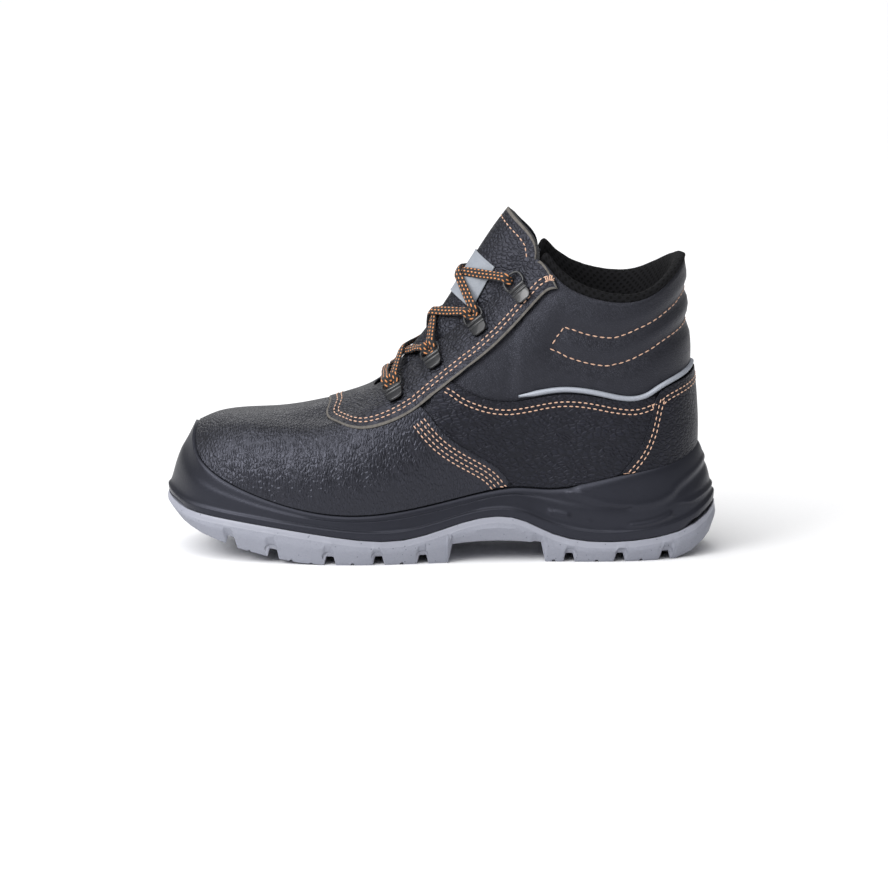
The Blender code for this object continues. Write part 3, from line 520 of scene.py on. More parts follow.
# %% Cut the panels
PANELS = (
    # solid, leather, overlap in millimetres, whether its cut edge shows
    ("vamp", vamp_leather, 1.2, False),
    ("quarter_outer", panel_leather, 1.4, False),
    ("quarter_inner", panel_leather, 1.4, False),
    ("counter", panel_leather, 1.2, False),
    ("eyestay", eyestay_leather, 1.3, True),
)
panels, rims = {}, {}
for node, leather, reach, shown in PANELS:
    panels[node], rims[node] = panel(node, leather, reach * MM, shown)

# %% [markdown]
# A seam follows an edge at a fixed distance. These helpers pick a stretch of an edge, smooth it, and walk it
# sideways over the surface in small steps, so that it stays on a curved panel.

# %% Helpers for seams


def lengths_along(line):
    """How far each point of a line lies from its start."""
    return np.r_[0, np.cumsum(np.linalg.norm(np.diff(line, axis=0), axis=1))]


def places_at(lengths, along, line):
    """The places at these lengths along a line."""
    return np.column_stack([np.interp(lengths, along, axis) for axis in line.T])


def smooth_line(points, step=0.5 * MM):
    """A smooth line through points, as evenly spaced points."""
    points = np.array(points, float)
    run = np.vstack([2 * points[0] - points[1], points, 2 * points[-1] - points[-2]])
    fine = []
    for a, b, c, d in zip(run, run[1:], run[2:], run[3:]):
        for t in np.arange(0, 1, 0.05):
            bow = (a - 2.5 * b + 2 * c - 0.5 * d) * t**2 + 0.5 * (3 * b - a - 3 * c + d) * t**3
            fine.append(b + 0.5 * (c - a) * t + bow)
    fine = np.array(fine + [points[-1]])
    along = lengths_along(fine)
    return places_at(np.arange(0, along[-1], step), along, fine)


def stretch_of(loop, start, via, end):
    """The part of a closed loop between two places in millimetres, on the side that passes a third."""

    def away_from(place, points):
        return np.linalg.norm(np.array(points) - np.array(place) * MM, axis=1)

    first, last = (int(np.argmin(away_from(place, loop))) for place in (start, end))
    count = (last - first) % len(loop)
    onward = [loop[(first + k) % len(loop)] for k in range(count + 1)]
    back = [loop[(first - k) % len(loop)] for k in range(len(loop) - count + 1)]
    return min(onward, back, key=lambda way: min(away_from(via, way)))


def on_surface(points, surface):
    """Points moved to the nearest places on a surface, and the normals there."""
    hits = [surface.find_nearest(point)[:2] for point in points]
    return np.array([hit for hit, _ in hits]), np.array([normal for _, normal in hits])


def inset_line(line, distance, surface, guide=upper_solid):
    """A line moved over a surface, to the side where the surface is; the guide says which way is out."""
    steps = math.ceil(distance / MM)
    run = np.gradient(line, axis=0)
    points, normals = on_surface(line, surface)

    def beside(way):
        side = np.cross(on_surface(points, guide)[1], run) * way
        return points + side * distance / steps / np.linalg.norm(side, axis=1)[:, None]

    def off_surface(way):
        return np.mean([surface.find_nearest(place)[3] for place in beside(way)])

    way = min((1, -1), key=off_surface)
    for _ in range(steps):
        points, normals = on_surface(beside(way), surface)
    return points, normals


def drawn_on(side_line, side, surface):
    """A line drawn in x and z, carried sideways onto a surface from the outer (-1) or the inner (1) side."""
    starts = [Vector((x, side * 200, z)) * MM for x, z in side_line]
    hits = [surface.ray_cast(start, (0, -side, 0))[0] for start in starts]
    return [hit for hit in hits if hit]


def press(piece, lines, reach, depth):
    """Presses soft troughs into a piece's outer face along lines, or raises ridges if depth is negative."""
    tree = tree_of_points(np.vstack(lines))
    points, normals = points_of(piece), points_of(piece, "normal")
    for i, point in enumerate(points):
        away = tree.find(point)[2]
        if away < 3 * reach and normals[i].dot(upper_solid.find_nearest(point)[1]) > 0:
            points[i] -= normals[i] * depth * math.exp(-((away / reach) ** 2))
    move_points(piece, points)


print("seam helpers ready")

# %% [markdown]
# Leather keeps the folds of its lasting and of its first wear. The main ones are placed one by one, as soft
# troughs beside low ridges: upright ones where the toes bend, slanting ones over the instep and long shallow
# ones along the quarter. The fine grain stays in the material.

# %% Crease the leather
# Each line is drawn on the side in x and z, in millimetres.
VAMP_CREASES = (
    ((-94, 52), (-92.5, 45), (-91, 39)),
    ((-83, 55), (-81, 47), (-80, 38)),
    ((-70, 56), (-69.5, 47), (-68, 37)),
    ((-57, 58), (-57.5, 48), (-56, 38)),
    ((-45, 62), (-43, 53), (-42, 43)),
    ((-33, 68), (-29, 60), (-26, 50)),
    ((-23, 73), (-18, 65), (-13, 57)),
)
QUARTER_CREASES = (
    ((8, 70), (22, 74), (38, 78)),
    ((14, 62), (32, 66), (52, 68)),
    ((56, 82), (76, 78), (97, 73)),
    ((42, 57), (62, 60), (84, 58)),
    ((68, 68), (88, 64), (104, 58)),
)
EYESTAY_CREASES = (
    ((-24, 99), (-19, 94), (-15, 90)),
    ((-13, 105), (-8, 98), (-4, 93)),
    ((5, 116), (10, 110), (14, 106)),
    ((24, 132), (30, 126), (34, 122)),
)
CREASE_DEPTH = 0.45 * MM
CREASE_REACH = 2.1 * MM
RIDGE_BESIDE = 3.4  # millimetres from a trough to its ridge
creased = 0
for node, lines in (
    ("vamp", VAMP_CREASES),
    ("quarter_outer", QUARTER_CREASES),
    ("quarter_inner", QUARTER_CREASES),
    ("eyestay", EYESTAY_CREASES),
):
    surface = surface_of(panels[node])
    troughs, ridges = [], []
    for line in lines:
        for side in (-1, 1):
            for shift, kept in ((0, troughs), (RIDGE_BESIDE, ridges)):
                drawn = drawn_on([(x + shift, z) for x, z in line], side, surface)
                kept += [smooth_line(drawn)] if len(drawn) > 1 else []
    press(panels[node], troughs, CREASE_REACH, CREASE_DEPTH)
    press(panels[node], ridges, CREASE_REACH, -CREASE_DEPTH / 2)
    creased += len(troughs)
print("creases:", creased)

# %% [markdown]
# The collar above the quarter is one piece of smooth leather over foam. Two curved seams draw it in, and the
# foam swells between them into three soft rolls round the heel. The copy of the upper is swollen along its
# normals wherever no panel covers it, and drawn in again along the seams.

# %% Draw the collar's seams
COLLAR_TOP_SEAM = (65.8, 127.8), (78.5, 123.6), (91.8, 121.9), (103.2, 125.3), (115.6, 131), (124, 136.6)
COLLAR_LOW_SEAM = (
    (58, 116.1), (70.4, 110.6), (82.7, 107.3), (91.8, 106.9), (103.2, 110.3), (115.6, 116.5), (124, 121.4),
)
TOP_SEAM_AT_BACK = 145.0
LOW_SEAM_AT_BACK = 128.0


def round_the_heel(side_line, back_height, surface):
    """A line drawn on the outer side in x and z, carried round the heel and along the inner side."""
    sides = [drawn_on(side_line, side, surface) for side in (-1, 1)]
    back = surface.ray_cast(Vector((300, -2, back_height)) * MM, (-1, 0, 0))[0]
    line = smooth_line(sides[0] + [back] + sides[1][::-1])
    return on_surface(line, surface)[0]


top_seam = round_the_heel(COLLAR_TOP_SEAM, TOP_SEAM_AT_BACK, upper_solid)
low_seam = round_the_heel(COLLAR_LOW_SEAM, LOW_SEAM_AT_BACK, upper_solid)
front_seams = [smooth_line([top_seam[i], low_seam[i]]) for i in (0, -1)]
collar_seams = [top_seam, low_seam] + front_seams
print("collar seams:", len(collar_seams))

# %% Find the collar's top edge
ANKLE = np.array((85, -2)) * MM
HIGHEST = 168 * MM
WALL_SEARCH = 0.2
LINING_ENDS = math.radians(138)
LINING_STATIONS = 97


def wall_at(angle, height, outside):
    """How far the upper's outer or inner wall stands from the ankle's axis, or nothing above its top."""
    way = Vector((math.cos(angle), math.sin(angle), 0))
    axis = Vector((*ANKLE, height))
    start, way = (axis + way * WALL_SEARCH, -way) if outside else (axis, way)
    hit = upper_solid.ray_cast(start, way, WALL_SEARCH)[0]
    return (hit - axis).length if hit else None


def round_ankle(angle, radius, height):
    return ANKLE[0] + radius * math.cos(angle), ANKLE[1] + radius * math.sin(angle), height


def top_of_wall(angle):
    """The height of the collar's top edge at an angle round the ankle."""
    top = HIGHEST
    while wall_at(angle, top, True) is None:
        top -= 0.25 * MM
    return top


lining_angles = np.linspace(-LINING_ENDS, LINING_ENDS, LINING_STATIONS)
collar_tops = [top_of_wall(angle) for angle in lining_angles]
collar_edge = np.array([
    round_ankle(angle, wall_at(angle, top, True), top) for angle, top in zip(lining_angles, collar_tops)
])
print("collar edge from", round(min(collar_tops) / MM), "to", round(max(collar_tops) / MM), "mm high")

# %% Pad the collar
COLLAR_SWELL = 1.7 * MM
SWELL_REACH = 7 * MM
SEAM_REACH = 4.2 * MM
SEAM_DEPTH = 0.6 * MM
COLLAR_FROM, COLLAR_ABOVE = 40 * MM, 84 * MM
COVER_REACH = 6 * MM

upper = copy_of("upper", "collar_and_lasting", "smooth_leather", collar_leather)
crease_and_smooth(upper, 50, 2)
covers = [surface_of(piece) for piece in panels.values()]
borders = [rims[node] for node in ("quarter_outer", "quarter_inner", "counter", "eyestay")]
borders = tree_of_points(np.vstack([collar_edge] + borders))
seams = tree_of_points(np.vstack(collar_seams))
points, normals = points_of(upper), points_of(upper, "normal")
swollen = 0
for i, (point, normal) in enumerate(zip(points, normals)):
    outwards = np.dot(normal[:2], point[:2] - ANKLE) > 0
    behind_lace = point[0] > COLLAR_FROM and point[2] > COLLAR_ABOVE
    if not outwards or not behind_lace:
        continue
    if any(cover.ray_cast(point, normal, COVER_REACH)[0] for cover in covers):
        continue
    swell = COLLAR_SWELL * (1 - math.exp(-((borders.find(point)[2] / SWELL_REACH) ** 2)))
    drawn_in = math.exp(-((seams.find(point)[2] / SEAM_REACH) ** 2))
    points[i] += normal * (swell * (1 - drawn_in) - SEAM_DEPTH * drawn_in)
    swollen += 1
move_points(upper, points)
print("collar points swollen:", swollen, "of", len(points))

# %% [markdown]
# The midsole is one moulding. Two raised ribs run back from the arch and rise round the heel, and the cup
# above them stands a little proud. The ribs are raised on the copy along lines drawn on its side.

# %% Mould the midsole
UPPER_RIB = (
    (70, 37.7), (74.1, 36.1), (82.1, 33.3), (92.2, 30.9),
    (105.8, 30), (116, 31.3), (123.9, 35), (129.6, 40.7),
)
LOWER_RIB = (
    (59.4, 27.5), (66.2, 25.8), (75.3, 22.9), (85.5, 20.9), (96.8, 20),
    (105.8, 20), (116, 21.7), (125, 25.2), (131.5, 29.5),
)
UPPER_RIB_AT_BACK = 51.0
LOWER_RIB_AT_BACK = 36.8
RIB_HEIGHT = 1.1 * MM
RIB_REACH = 1.5 * MM
CUP_PROUD = 1.2 * MM
CUP_FROM, CUP_FULL = 69 * MM, 75 * MM
CUP_STEP = 1.6 * MM
LEVEL = np.array((1, 1, 0))  # takes the height out of a place

midsole = copy_of("midsole", "midsole_foam", "black_polyurethane", foam)
crease_and_smooth(midsole, 62, 3)
midsole_surface = surface_of(midsole)
upper_rib = round_the_heel(UPPER_RIB, UPPER_RIB_AT_BACK, midsole_surface)
lower_rib = round_the_heel(LOWER_RIB, LOWER_RIB_AT_BACK, midsole_surface)
press(midsole, [upper_rib, lower_rib], RIB_REACH, -RIB_HEIGHT)
rib_below = tree_of_points(upper_rib * LEVEL)
points, normals = points_of(midsole), points_of(midsole, "normal")
for i, (point, normal) in enumerate(zip(points, normals)):
    outwards = np.dot(normal[:2], point[:2] - ANKLE) > 0 and abs(normal[2]) < 0.9
    if point[0] < CUP_FROM or not outwards:
        continue
    above = point[2] - upper_rib[rib_below.find(point * LEVEL)[1]][2]
    share = np.clip(above / CUP_STEP, 0, 1) * np.clip((point[0] - CUP_FROM) / (CUP_FULL - CUP_FROM), 0, 1)
    points[i] += normal * CUP_PROUD * share
move_points(midsole, points)
print("midsole:", len(midsole.data.polygons), "faces")

# %% [markdown]
# The outsole is moulded grey rubber, glossy along its top and sanded below. Its lugs keep crisp edges with a
# small round, so it gets a bevel and not a smoothing. Arched pockets over the grooves and small notches in
# the lugs are cut with Booleans, because they are crisp too, and the smooth panel under the arch is raised.

# %% Mould the outsole
PANEL_FROM, PANEL_TO = 3 * MM, 50 * MM
PANEL_BELOW = 5.2 * MM
PANEL_PROUD = 0.9 * MM
BAND_RANGE = 14 * MM
outsole = copy_of("outsole", "outsole_rubber", "grey_rubber", rubber)
round_edges(outsole, 0.6 * MM, 2, 38)
subdivide(outsole, 2, subdivision_type="SIMPLE")


def below_top(piece):
    """How far each point of the outsole lies below the top edge beside it, in metres."""
    points = points_of(piece)
    tops = points[sorted({v for face in piece.data.polygons if face.normal.z > 0.7 for v in face.vertices})]
    tree = tree_of_points(tops * LEVEL)
    return np.array([tops[tree.find(point * LEVEL)[1]][2] - point[2] for point in points])


points, normals = points_of(outsole), points_of(outsole, "normal")
on_panel = (points[:, 0] > PANEL_FROM) & (points[:, 0] < PANEL_TO) & (np.abs(normals[:, 2]) < 0.75)
on_panel &= below_top(outsole) > PANEL_BELOW
move_points(outsole, points + normals * (on_panel * PANEL_PROUD)[:, None])
print("outsole:", len(outsole.data.polygons), "faces")

# %% Cut the pockets and notches
# Each cut is x and z in millimetres. A cutter is an oval with a half width, a half height and a depth.
POCKETS = [(x, 4.9) for x in (-60.5, -34, -10, 70, 97.5, 122.5)] + [(-91.5, 8.2)]
NOTCHES = [(x, 0) for x in (-70, -47.6, -20.9, 60.7, 84, 108.5)] + [(-81, 1.4), (-104, 5.8)]
POCKET = 3.7, 2.9, 1.2
NOTCH = 1.1, 1.2, 7.0
CUT_START = 2  # millimetres outside the wall where a cutter begins
SEEN_ABOVE = 4  # the wall is looked for this far above a cut, clear of the grooves
outsole_surface = surface_of(outsole)
bpy.ops.mesh.primitive_cylinder_add(vertices=20, radius=1, depth=2)
round_cutter = bpy.context.object
cutters = []
for (x, z), (half, high, deep) in [(p, POCKET) for p in POCKETS] + [(n, NOTCH) for n in NOTCHES]:
    for side in (-1, 1):
        start = Vector((x, side * 200, z + SEEN_ABOVE)) * MM
        hit, normal = outsole_surface.ray_cast(start, (0, -side, 0))[:2]
        out = Vector((normal.x, normal.y, 0)).normalized()
        foot = Vector((hit.x, hit.y, z * MM)) + out * (CUT_START - deep / 2) * MM
        along = out.cross((0, 0, 1)) * half * MM
        through = out * (CUT_START + deep / 2) * MM
        turn = Matrix((along, Vector((0, 0, high * MM)), through)).transposed().to_4x4()
        cutters.append(add_piece("cutter", round_cutter.data.copy()))
        cutters[-1].data.transform(Matrix.Translation(foot) @ turn)
bpy.data.objects.remove(round_cutter)
cutter = joined(cutters)
face_outwards(cutter)
finish_with(outsole, "BOOLEAN", operation="DIFFERENCE", solver="EXACT", object=cutter)
bpy.data.objects.remove(cutter)
down = outsole.data.attributes.new(BAND, "FLOAT", "POINT")
down.data.foreach_set("value", np.clip(below_top(outsole) / BAND_RANGE, 0, 1))
only(outsole)
bpy.ops.object.shade_smooth_by_angle(angle=math.radians(35))
print("outsole cut:", len(outsole.data.polygons), "faces")

# %% [markdown]
# The tongue is a padded strip of the same leather, a little bowed over the instep. Its front hide is cut at
# the top, where its pale fibres show.

# %% Pad the tongue
TONGUE_EDGE = 0.2 * MM
TONGUE_SHARP = math.radians(75)
tongue = copy_of("tongue", "tongue_leather", "grained_leather", eyestay_leather, cut_edge)
# the tongue lies inside the upper, so its front is the side that looks at the upper
tongue_sheet = sheet_faces(tongue, False, TONGUE_SHARP)
tongue_rim = rim_loop(tongue, tongue_sheet)
tongue_front = BVHTree.FromPolygons(
    [v.co.copy() for v in tongue.data.vertices], [tongue.data.polygons[i].vertices[:] for i in tongue_sheet]
)
round_rim(tongue, tongue_sheet, TONGUE_EDGE, True)
crease_and_smooth(tongue, 62, 3)
tongue_surface = surface_of(tongue)
print("tongue:", len(tongue.data.polygons), "faces")

# %% [markdown]
# A plain grey patch of soft moulded vinyl sits on the tongue, with a low rim round it. A flat grid is laid on
# the tongue by casting each of its points back onto the leather, and then gets its thickness.

# %% Mould the tongue's patch
PATCH_FOOT, PATCH_HEAD = Vector((5, 0, 143)) * MM, Vector((19, 0, 165)) * MM
PATCH_HALF = 15 * MM
PATCH_THICK = 0.9 * MM
PATCH_RIM = 0.35 * MM
RIM_FROM = 0.93  # as a share of the patch's half width or height
INSTEP = (-0.79, 0, 0.61)
INSTEP_OUT = Vector(INSTEP)
VINYL = "#7f848e", "#93989f"
vinyl = speckled("soft moulded vinyl", {"IOR": 1.5}, 1.2, VINYL, 0.06, (0.38, 0.55))
bpy.ops.mesh.primitive_grid_add(x_subdivisions=24, y_subdivisions=36, size=2)
patch = bpy.context.object
patch.name = "tongue_patch"
laid_points = []
for vertex in patch.data.vertices:
    along, across = vertex.co.x, vertex.co.y
    start = PATCH_FOOT.lerp(PATCH_HEAD, (along + 1) / 2) + INSTEP_OUT * 60 * MM
    start.y = ANKLE[1] + across * PATCH_HALF
    hit, normal = tongue_surface.ray_cast(start, -INSTEP_OUT)[:2]
    on_rim = max(abs(along), abs(across)) > RIM_FROM
    laid_points.append(hit + normal * (PATCH_RIM if on_rim else 0))
move_points(patch, np.array(laid_points))
outwards = sum(face.normal.dot(INSTEP_OUT) for face in patch.data.polygons) > 0
finish_with(patch, "SOLIDIFY", thickness=PATCH_THICK, offset=1 if outwards else -1)
round_edges(patch, 0.25 * MM, 2, 50)
face_outwards(patch)
patch.data.materials.append(vinyl)
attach(patch, "root")
print("patch:", len(patch.data.polygons), "faces")

# %% [markdown]
# The insole keeps its packed form and shows only deep inside. It is needled felt: short fibres in all
# directions, drawn here as a fine noise.

# %% Lay the insole
FELT = {"Roughness": 0.95, "Sheen Weight": 0.2}
felt = speckled("needled felt", FELT, 1.4, ("#0b0b0d", "#1d1d21"), 0.3, Detail=4.0, Roughness=0.7)
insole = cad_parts["insole"]
insole.data.materials.clear()
insole.data.materials.append(felt)
print("insole laid:", felt.name)

# %% [markdown]
# The collar is lined with spacer mesh, a knitted cloth with round holes, padded with foam. It rolls over the
# top edge and shows outside as a narrow band. It could be draped by simulation, but a roll that must follow
# one edge all the way is surer as a loft: one padded section, set at many angles round the ankle.

# %% Knit the lining
MESH_PITCH = 2.8 * MM
mesh_cloth, tree, shader = new_finish("spacer mesh lining", {"Roughness": 0.9, "Specular IOR Level": 0.2})
cloth_place = add_node(tree, "UVMap")
turned = add_node(tree, "Mapping", {"Vector": cloth_place, "Rotation": (0, 0, math.pi / 4)})
holes = {"Vector": turned, "Scale": 1 / MESH_PITCH, "Randomness": 0.12}
hole = add_node(tree, "TexVoronoi", holes, voronoi_dimensions="2D")
edge = {"Value": hole, "From Min": 0.2, "From Max": 0.36}
open_hole = add_node(tree, "MapRange", edge, interpolation_type="SMOOTHSTEP")
fuzz = noise(tree, 0.9)
yarn = blend(tree, fuzz, "#08080a", "#141417")
knit = calculate(tree, "MULTIPLY_ADD", fuzz, 0.25, open_hole)
# painted shade: the holes are near black, the shade inside them; the bump also sinks them
feed(shader, Base_Color=blend(tree, open_hole, "#020203", yarn), Normal=relief(tree, knit, 0.5))
print("lining knitted")

# %% Roll the lining over the collar
# Each row is the wall that it is measured from, how far it stands off that wall, how far below the top it
# is, and its rise above the top as a share of the roll.
LINING_ROWS = (
    ("out", -1.4, 3.0, 0),
    ("out", -0.7, 0.2, 0),
    ("out", 0.4, 0, 0.35),
    ("out", 0.0, 0, 0.8),
    ("top", 0.4, 0, 1.05),
    ("in", 1.6, 0, 0.8),
    ("in", 3.4, 0, 0.3),
    ("in", 5.2, 4, 0),
    ("in", 6.8, 12, 0),
    ("in", 7.2, 22, 0),
    ("in", 6.2, 34, 0),
    ("in", 4.2, 46, 0),
    ("in", 1.6, 56, 0),
    ("in", 0.3, 60, 0),
    ("in", -0.8, 59, 0),
    ("in", -0.8, 30, 0),
    ("in", -0.8, 8, 0),
    ("top", 0.0, 4.6, 0),
)
ROLL_ANGLES = np.radians((0, 18, 42, 60, 138))
ROLLS = np.array((2.2, 2.8, 4.2, 4.4, 7.0)) * MM
ROLL_ENDS_OVER = math.radians(5)
PAD_ENDS_OVER = math.radians(22)


def lining_section(angle, top):
    """The padded section at one angle round the ankle; it thins towards the two front ends."""
    to_end = LINING_ENDS - abs(angle)
    full = min(1, 0.3 + to_end / PAD_ENDS_OVER)
    roll = np.interp(abs(angle), ROLL_ANGLES, ROLLS) * min(1, 0.2 + to_end / ROLL_ENDS_OVER)
    section = []
    for wall, off, drop, rise in LINING_ROWS:
        height = top - drop * MM + rise * roll
        level = min(height, top - 0.5 * MM)
        out, inner = wall_at(angle, level, True), wall_at(angle, level, False)
        inner = inner or out - 2 * MM
        radius = {
            "out": out + off * MM,
            "top": (out + inner) / 2 - off * MM,
            "in": inner - off * MM * (full if off > 1 else 1),
        }[wall]
        section.append(round_ankle(angle, radius, height))
    return section


def loft(name, sections, material, closed_ring=False):
    """A skin over closed sections, capped at its ends, with lengths in metres in its UV map."""
    sections = np.array(sections)
    count, sides = sections.shape[:2]
    faces = []
    for i in range(count if closed_ring else count - 1):
        for j in range(sides):
            k = (j + 1) % sides
            n = (i + 1) % count
            faces.append((i * sides + j, i * sides + k, n * sides + k, n * sides + j))
    if not closed_ring:
        faces.append(tuple(range(sides))[::-1])
        faces.append(tuple((count - 1) * sides + j for j in range(sides)))
    mesh = bpy.data.meshes.new(name)
    mesh.from_pydata(sections.reshape(-1, 3), [], faces)
    along = lengths_along(sections.mean(axis=1))
    along = np.r_[along, 2 * along[-1] - along[-2]]
    girth = np.linalg.norm(np.roll(sections, -1, axis=1) - sections, axis=2).mean(axis=0)
    across = np.r_[0, np.cumsum(girth)]
    layer = mesh.uv_layers.new(name="length_and_girth")
    for face in mesh.polygons:
        if len(face.vertices) != 4:
            continue
        i, j = divmod(face.vertices[0], sides)
        corners = (i, j), (i, j + 1), (i + 1, j + 1), (i + 1, j)
        for loop, (u, v) in zip(face.loop_indices, corners):
            layer.data[loop].uv = along[u], across[v]
    piece = add_piece(name, mesh)
    mesh.materials.append(material)
    face_outwards(piece)
    return piece


lining_sections = [lining_section(angle, top) for angle, top in zip(lining_angles, collar_tops)]
lining = loft("collar_lining", lining_sections, mesh_cloth)
subdivide(lining, 1)
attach(lining, "root")
print("lining:", len(lining.data.polygons), "faces")

# %% [markdown]
# A reflective piping is caught in the seam between the quarter and the collar. It is fattest along the side
# and thins to nothing at its front.

# %% Sew in the piping
PIPING_FATTER = 0.5 * MM
PIPING_THINNER = 0.8 * MM
PIPING_TIP = 37 * MM
PIPING_TAPER = 14 * MM
CLOTH = {"Metallic": 0.25, "Roughness": 0.45}
reflective = speckled("reflective piping cloth", CLOTH, 1.0, ("#8b909a", "#a9aeb8"), 0.1)
piping = copy_of("piping", "piping_cloth", "reflective_piping", reflective)
crease_and_smooth(piping, 75, 2)
points, normals = points_of(piping), points_of(piping, "normal")
grown = np.clip((points[:, :1] - PIPING_TIP) / PIPING_TAPER, 0, 1)
move_points(piping, points + normals * (PIPING_FATTER * grown - PIPING_THINNER * (1 - grown)))
print("piping:", len(piping.data.polygons), "faces")

# %% [markdown]
# Each lace ring is a wire loop held in a rolled steel tab, enamelled black. One ring is modelled flat at the
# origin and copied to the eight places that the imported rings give.

# %% Model one ring
# All of the ring is in millimetres until it is placed.
RING_WIRE = 0.7  # half the wire's thickness
RING_HALF = 5.6
RING_DEEP = 8.6
WIRE_HIGH = 1.3
TAB_HALF = 4.7
TAB_LONG = 10.0
TAB_THICK = 1.5
TAB_AHEAD, TAB_HIGH = 1.2, 0.2
TAB_ROUND = 3.0
TAB_ROLLS = ((0.0, 1.35), (-2.7, 0.95))  # where each roll lies along the tab, and its radius
ROLL_HIGH = 1.35
ROLL_WIDER = 0.6
ENAMEL = {"IOR": 1.5, "Coat Weight": 0.3}
enamel = speckled("black ring enamel", ENAMEL, 1.6, ("#101114", "#1c1d21"), 0.05, (0.24, 0.4))


def swept_sections(path, ups, half_width, half_height, sides, closed=False):
    """Oval sections along a path, each flat to its own up direction."""
    path, ups = np.array(path), np.array(ups)
    if closed:
        ahead = np.roll(path, -1, axis=0) - np.roll(path, 1, axis=0)
    else:
        ahead = np.gradient(path, axis=0)
    ahead /= np.linalg.norm(ahead, axis=1)[:, None]
    side = np.cross(ahead, ups)
    side /= np.linalg.norm(side, axis=1)[:, None]
    up = np.cross(side, ahead)
    turns = np.linspace(0, 2 * math.pi, sides, endpoint=False)
    wide = np.cos(turns)[None, :, None] * half_width
    high = np.sin(turns)[None, :, None] * half_height
    return path[:, None] + side[:, None] * wide + up[:, None] * high


turns = np.linspace(0, 2 * math.pi, 48, endpoint=False)
c, s = np.cos(turns), np.sin(turns)
# a D with its bar along y = 0: the powers square its corners, most of all beside the bar
wire_x = RING_HALF * np.sign(c) * np.abs(c) ** 0.75
wire_y = RING_DEEP / 2 + RING_DEEP / 2 * np.sign(s) * np.abs(s) ** np.where(s < 0, 0.45, 0.9)
wire = np.column_stack([wire_x, wire_y, np.full(len(turns), WIRE_HIGH)])
wire_sections = swept_sections(wire, [(0, 0, 1)] * len(wire), RING_WIRE, RING_WIRE, 10, True)
ring_loop = loft("ring_pattern", wire_sections, enamel, True)
bpy.ops.mesh.primitive_plane_add(size=2)
tab = bpy.context.object
with editing(tab):
    bpy.ops.mesh.select_all(action="SELECT")
    bpy.ops.transform.resize(value=(TAB_HALF, TAB_LONG / 2, 1))
    bpy.ops.transform.translate(value=(0, TAB_AHEAD - TAB_LONG / 2, TAB_HIGH))
for vertex in tab.data.vertices:
    vertex.select = vertex.co.y < 0
with editing(tab, "POINTS"):
    bpy.ops.mesh.bevel(offset=TAB_ROUND, segments=5, affect="VERTICES")
    bpy.ops.mesh.select_all(action="SELECT")
    bpy.ops.mesh.extrude_region_move(TRANSFORM_OT_translate={"value": (0, 0, TAB_THICK)})
face_outwards(tab)
round_edges(tab, 0.5, 3, 50)
parts = [ring_loop, tab]
for along, radius in TAB_ROLLS:
    bpy.ops.mesh.primitive_cylinder_add(
        vertices=16,
        radius=radius,
        depth=2 * TAB_HALF + ROLL_WIDER,
        location=(0, along, ROLL_HIGH),
        rotation=(0, math.pi / 2, 0),
    )
    parts.append(bpy.context.object)
    bpy.ops.object.transform_apply(location=True, rotation=True, scale=True)
    round_edges(parts[-1], 0.3, 2, 50)
for part in parts[1:]:
    part.data.materials.append(enamel)
ring_pattern = joined(parts)
bpy.ops.object.shade_smooth_by_angle(angle=math.radians(40))
print("ring pattern:", len(ring_pattern.data.polygons), "faces")

# %% Set the rings
RING_LOOP_END = 9.1  # millimetres from a packed ring's hinge to the far side of its loop
THROAT_UP = Vector((0.79, 0, 0.61))


def ring_frame(node):
    """Where a packed ring sits: x along the eyestay, y towards the throat, z away from the foot."""
    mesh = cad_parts[node].data
    centres = np.array([face.center for face in mesh.polygons])
    areas = np.array([face.area for face in mesh.polygons])
    middle = np.average(centres, axis=0, weights=areas)
    axes = np.linalg.eigh(np.cov((centres - middle).T, aweights=areas))[1].T
    out, _, reach = (Vector(axis) for axis in axes)
    out = out if out.dot(upper_solid.find_nearest(middle)[1]) > 0 else -out
    to_throat = Vector((middle[0] - 8 * MM, ANKLE[1], middle[2] + 8 * MM)) - Vector(middle)
    reach = reach if reach.dot(to_throat) > 0 else -reach
    corners = np.array([vertex.co for vertex in mesh.vertices])
    along = np.cross(reach, out)
    seat = Vector(along) * float(np.mean([(corners @ along).min(), (corners @ along).max()]))
    seat += reach * (float((corners @ np.array(reach)).max()) - RING_LOOP_END * MM)
    seat += out * float((corners @ np.array(out)).min())
    turn = Matrix((Vector(along), reach, out)).transposed().to_4x4()
    return Matrix.Translation(seat) @ turn @ Matrix.Scale(MM, 4)


ring_frames = {}
for side in ("outer", "inner"):
    for number in (1, 2, 3, 4):
        node = f"ring_{side}_{number}"
        ring_frames[side, number] = ring_frame(node)
        ring = add_piece(node + "_enamel", ring_pattern.data.copy())
        ring.data.transform(ring_frames[side, number])
        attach(ring, "root")
        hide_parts(node)
bpy.data.objects.remove(ring_pattern)
print("rings set:", len(ring_frames))

# %% [markdown]
# The lace is a flat polyester braid, black with orange flecks. Its route is pulled tight over the tongue as a
# real lace is: points on it are drawn towards each other again and again, and pushed out of what they touch.

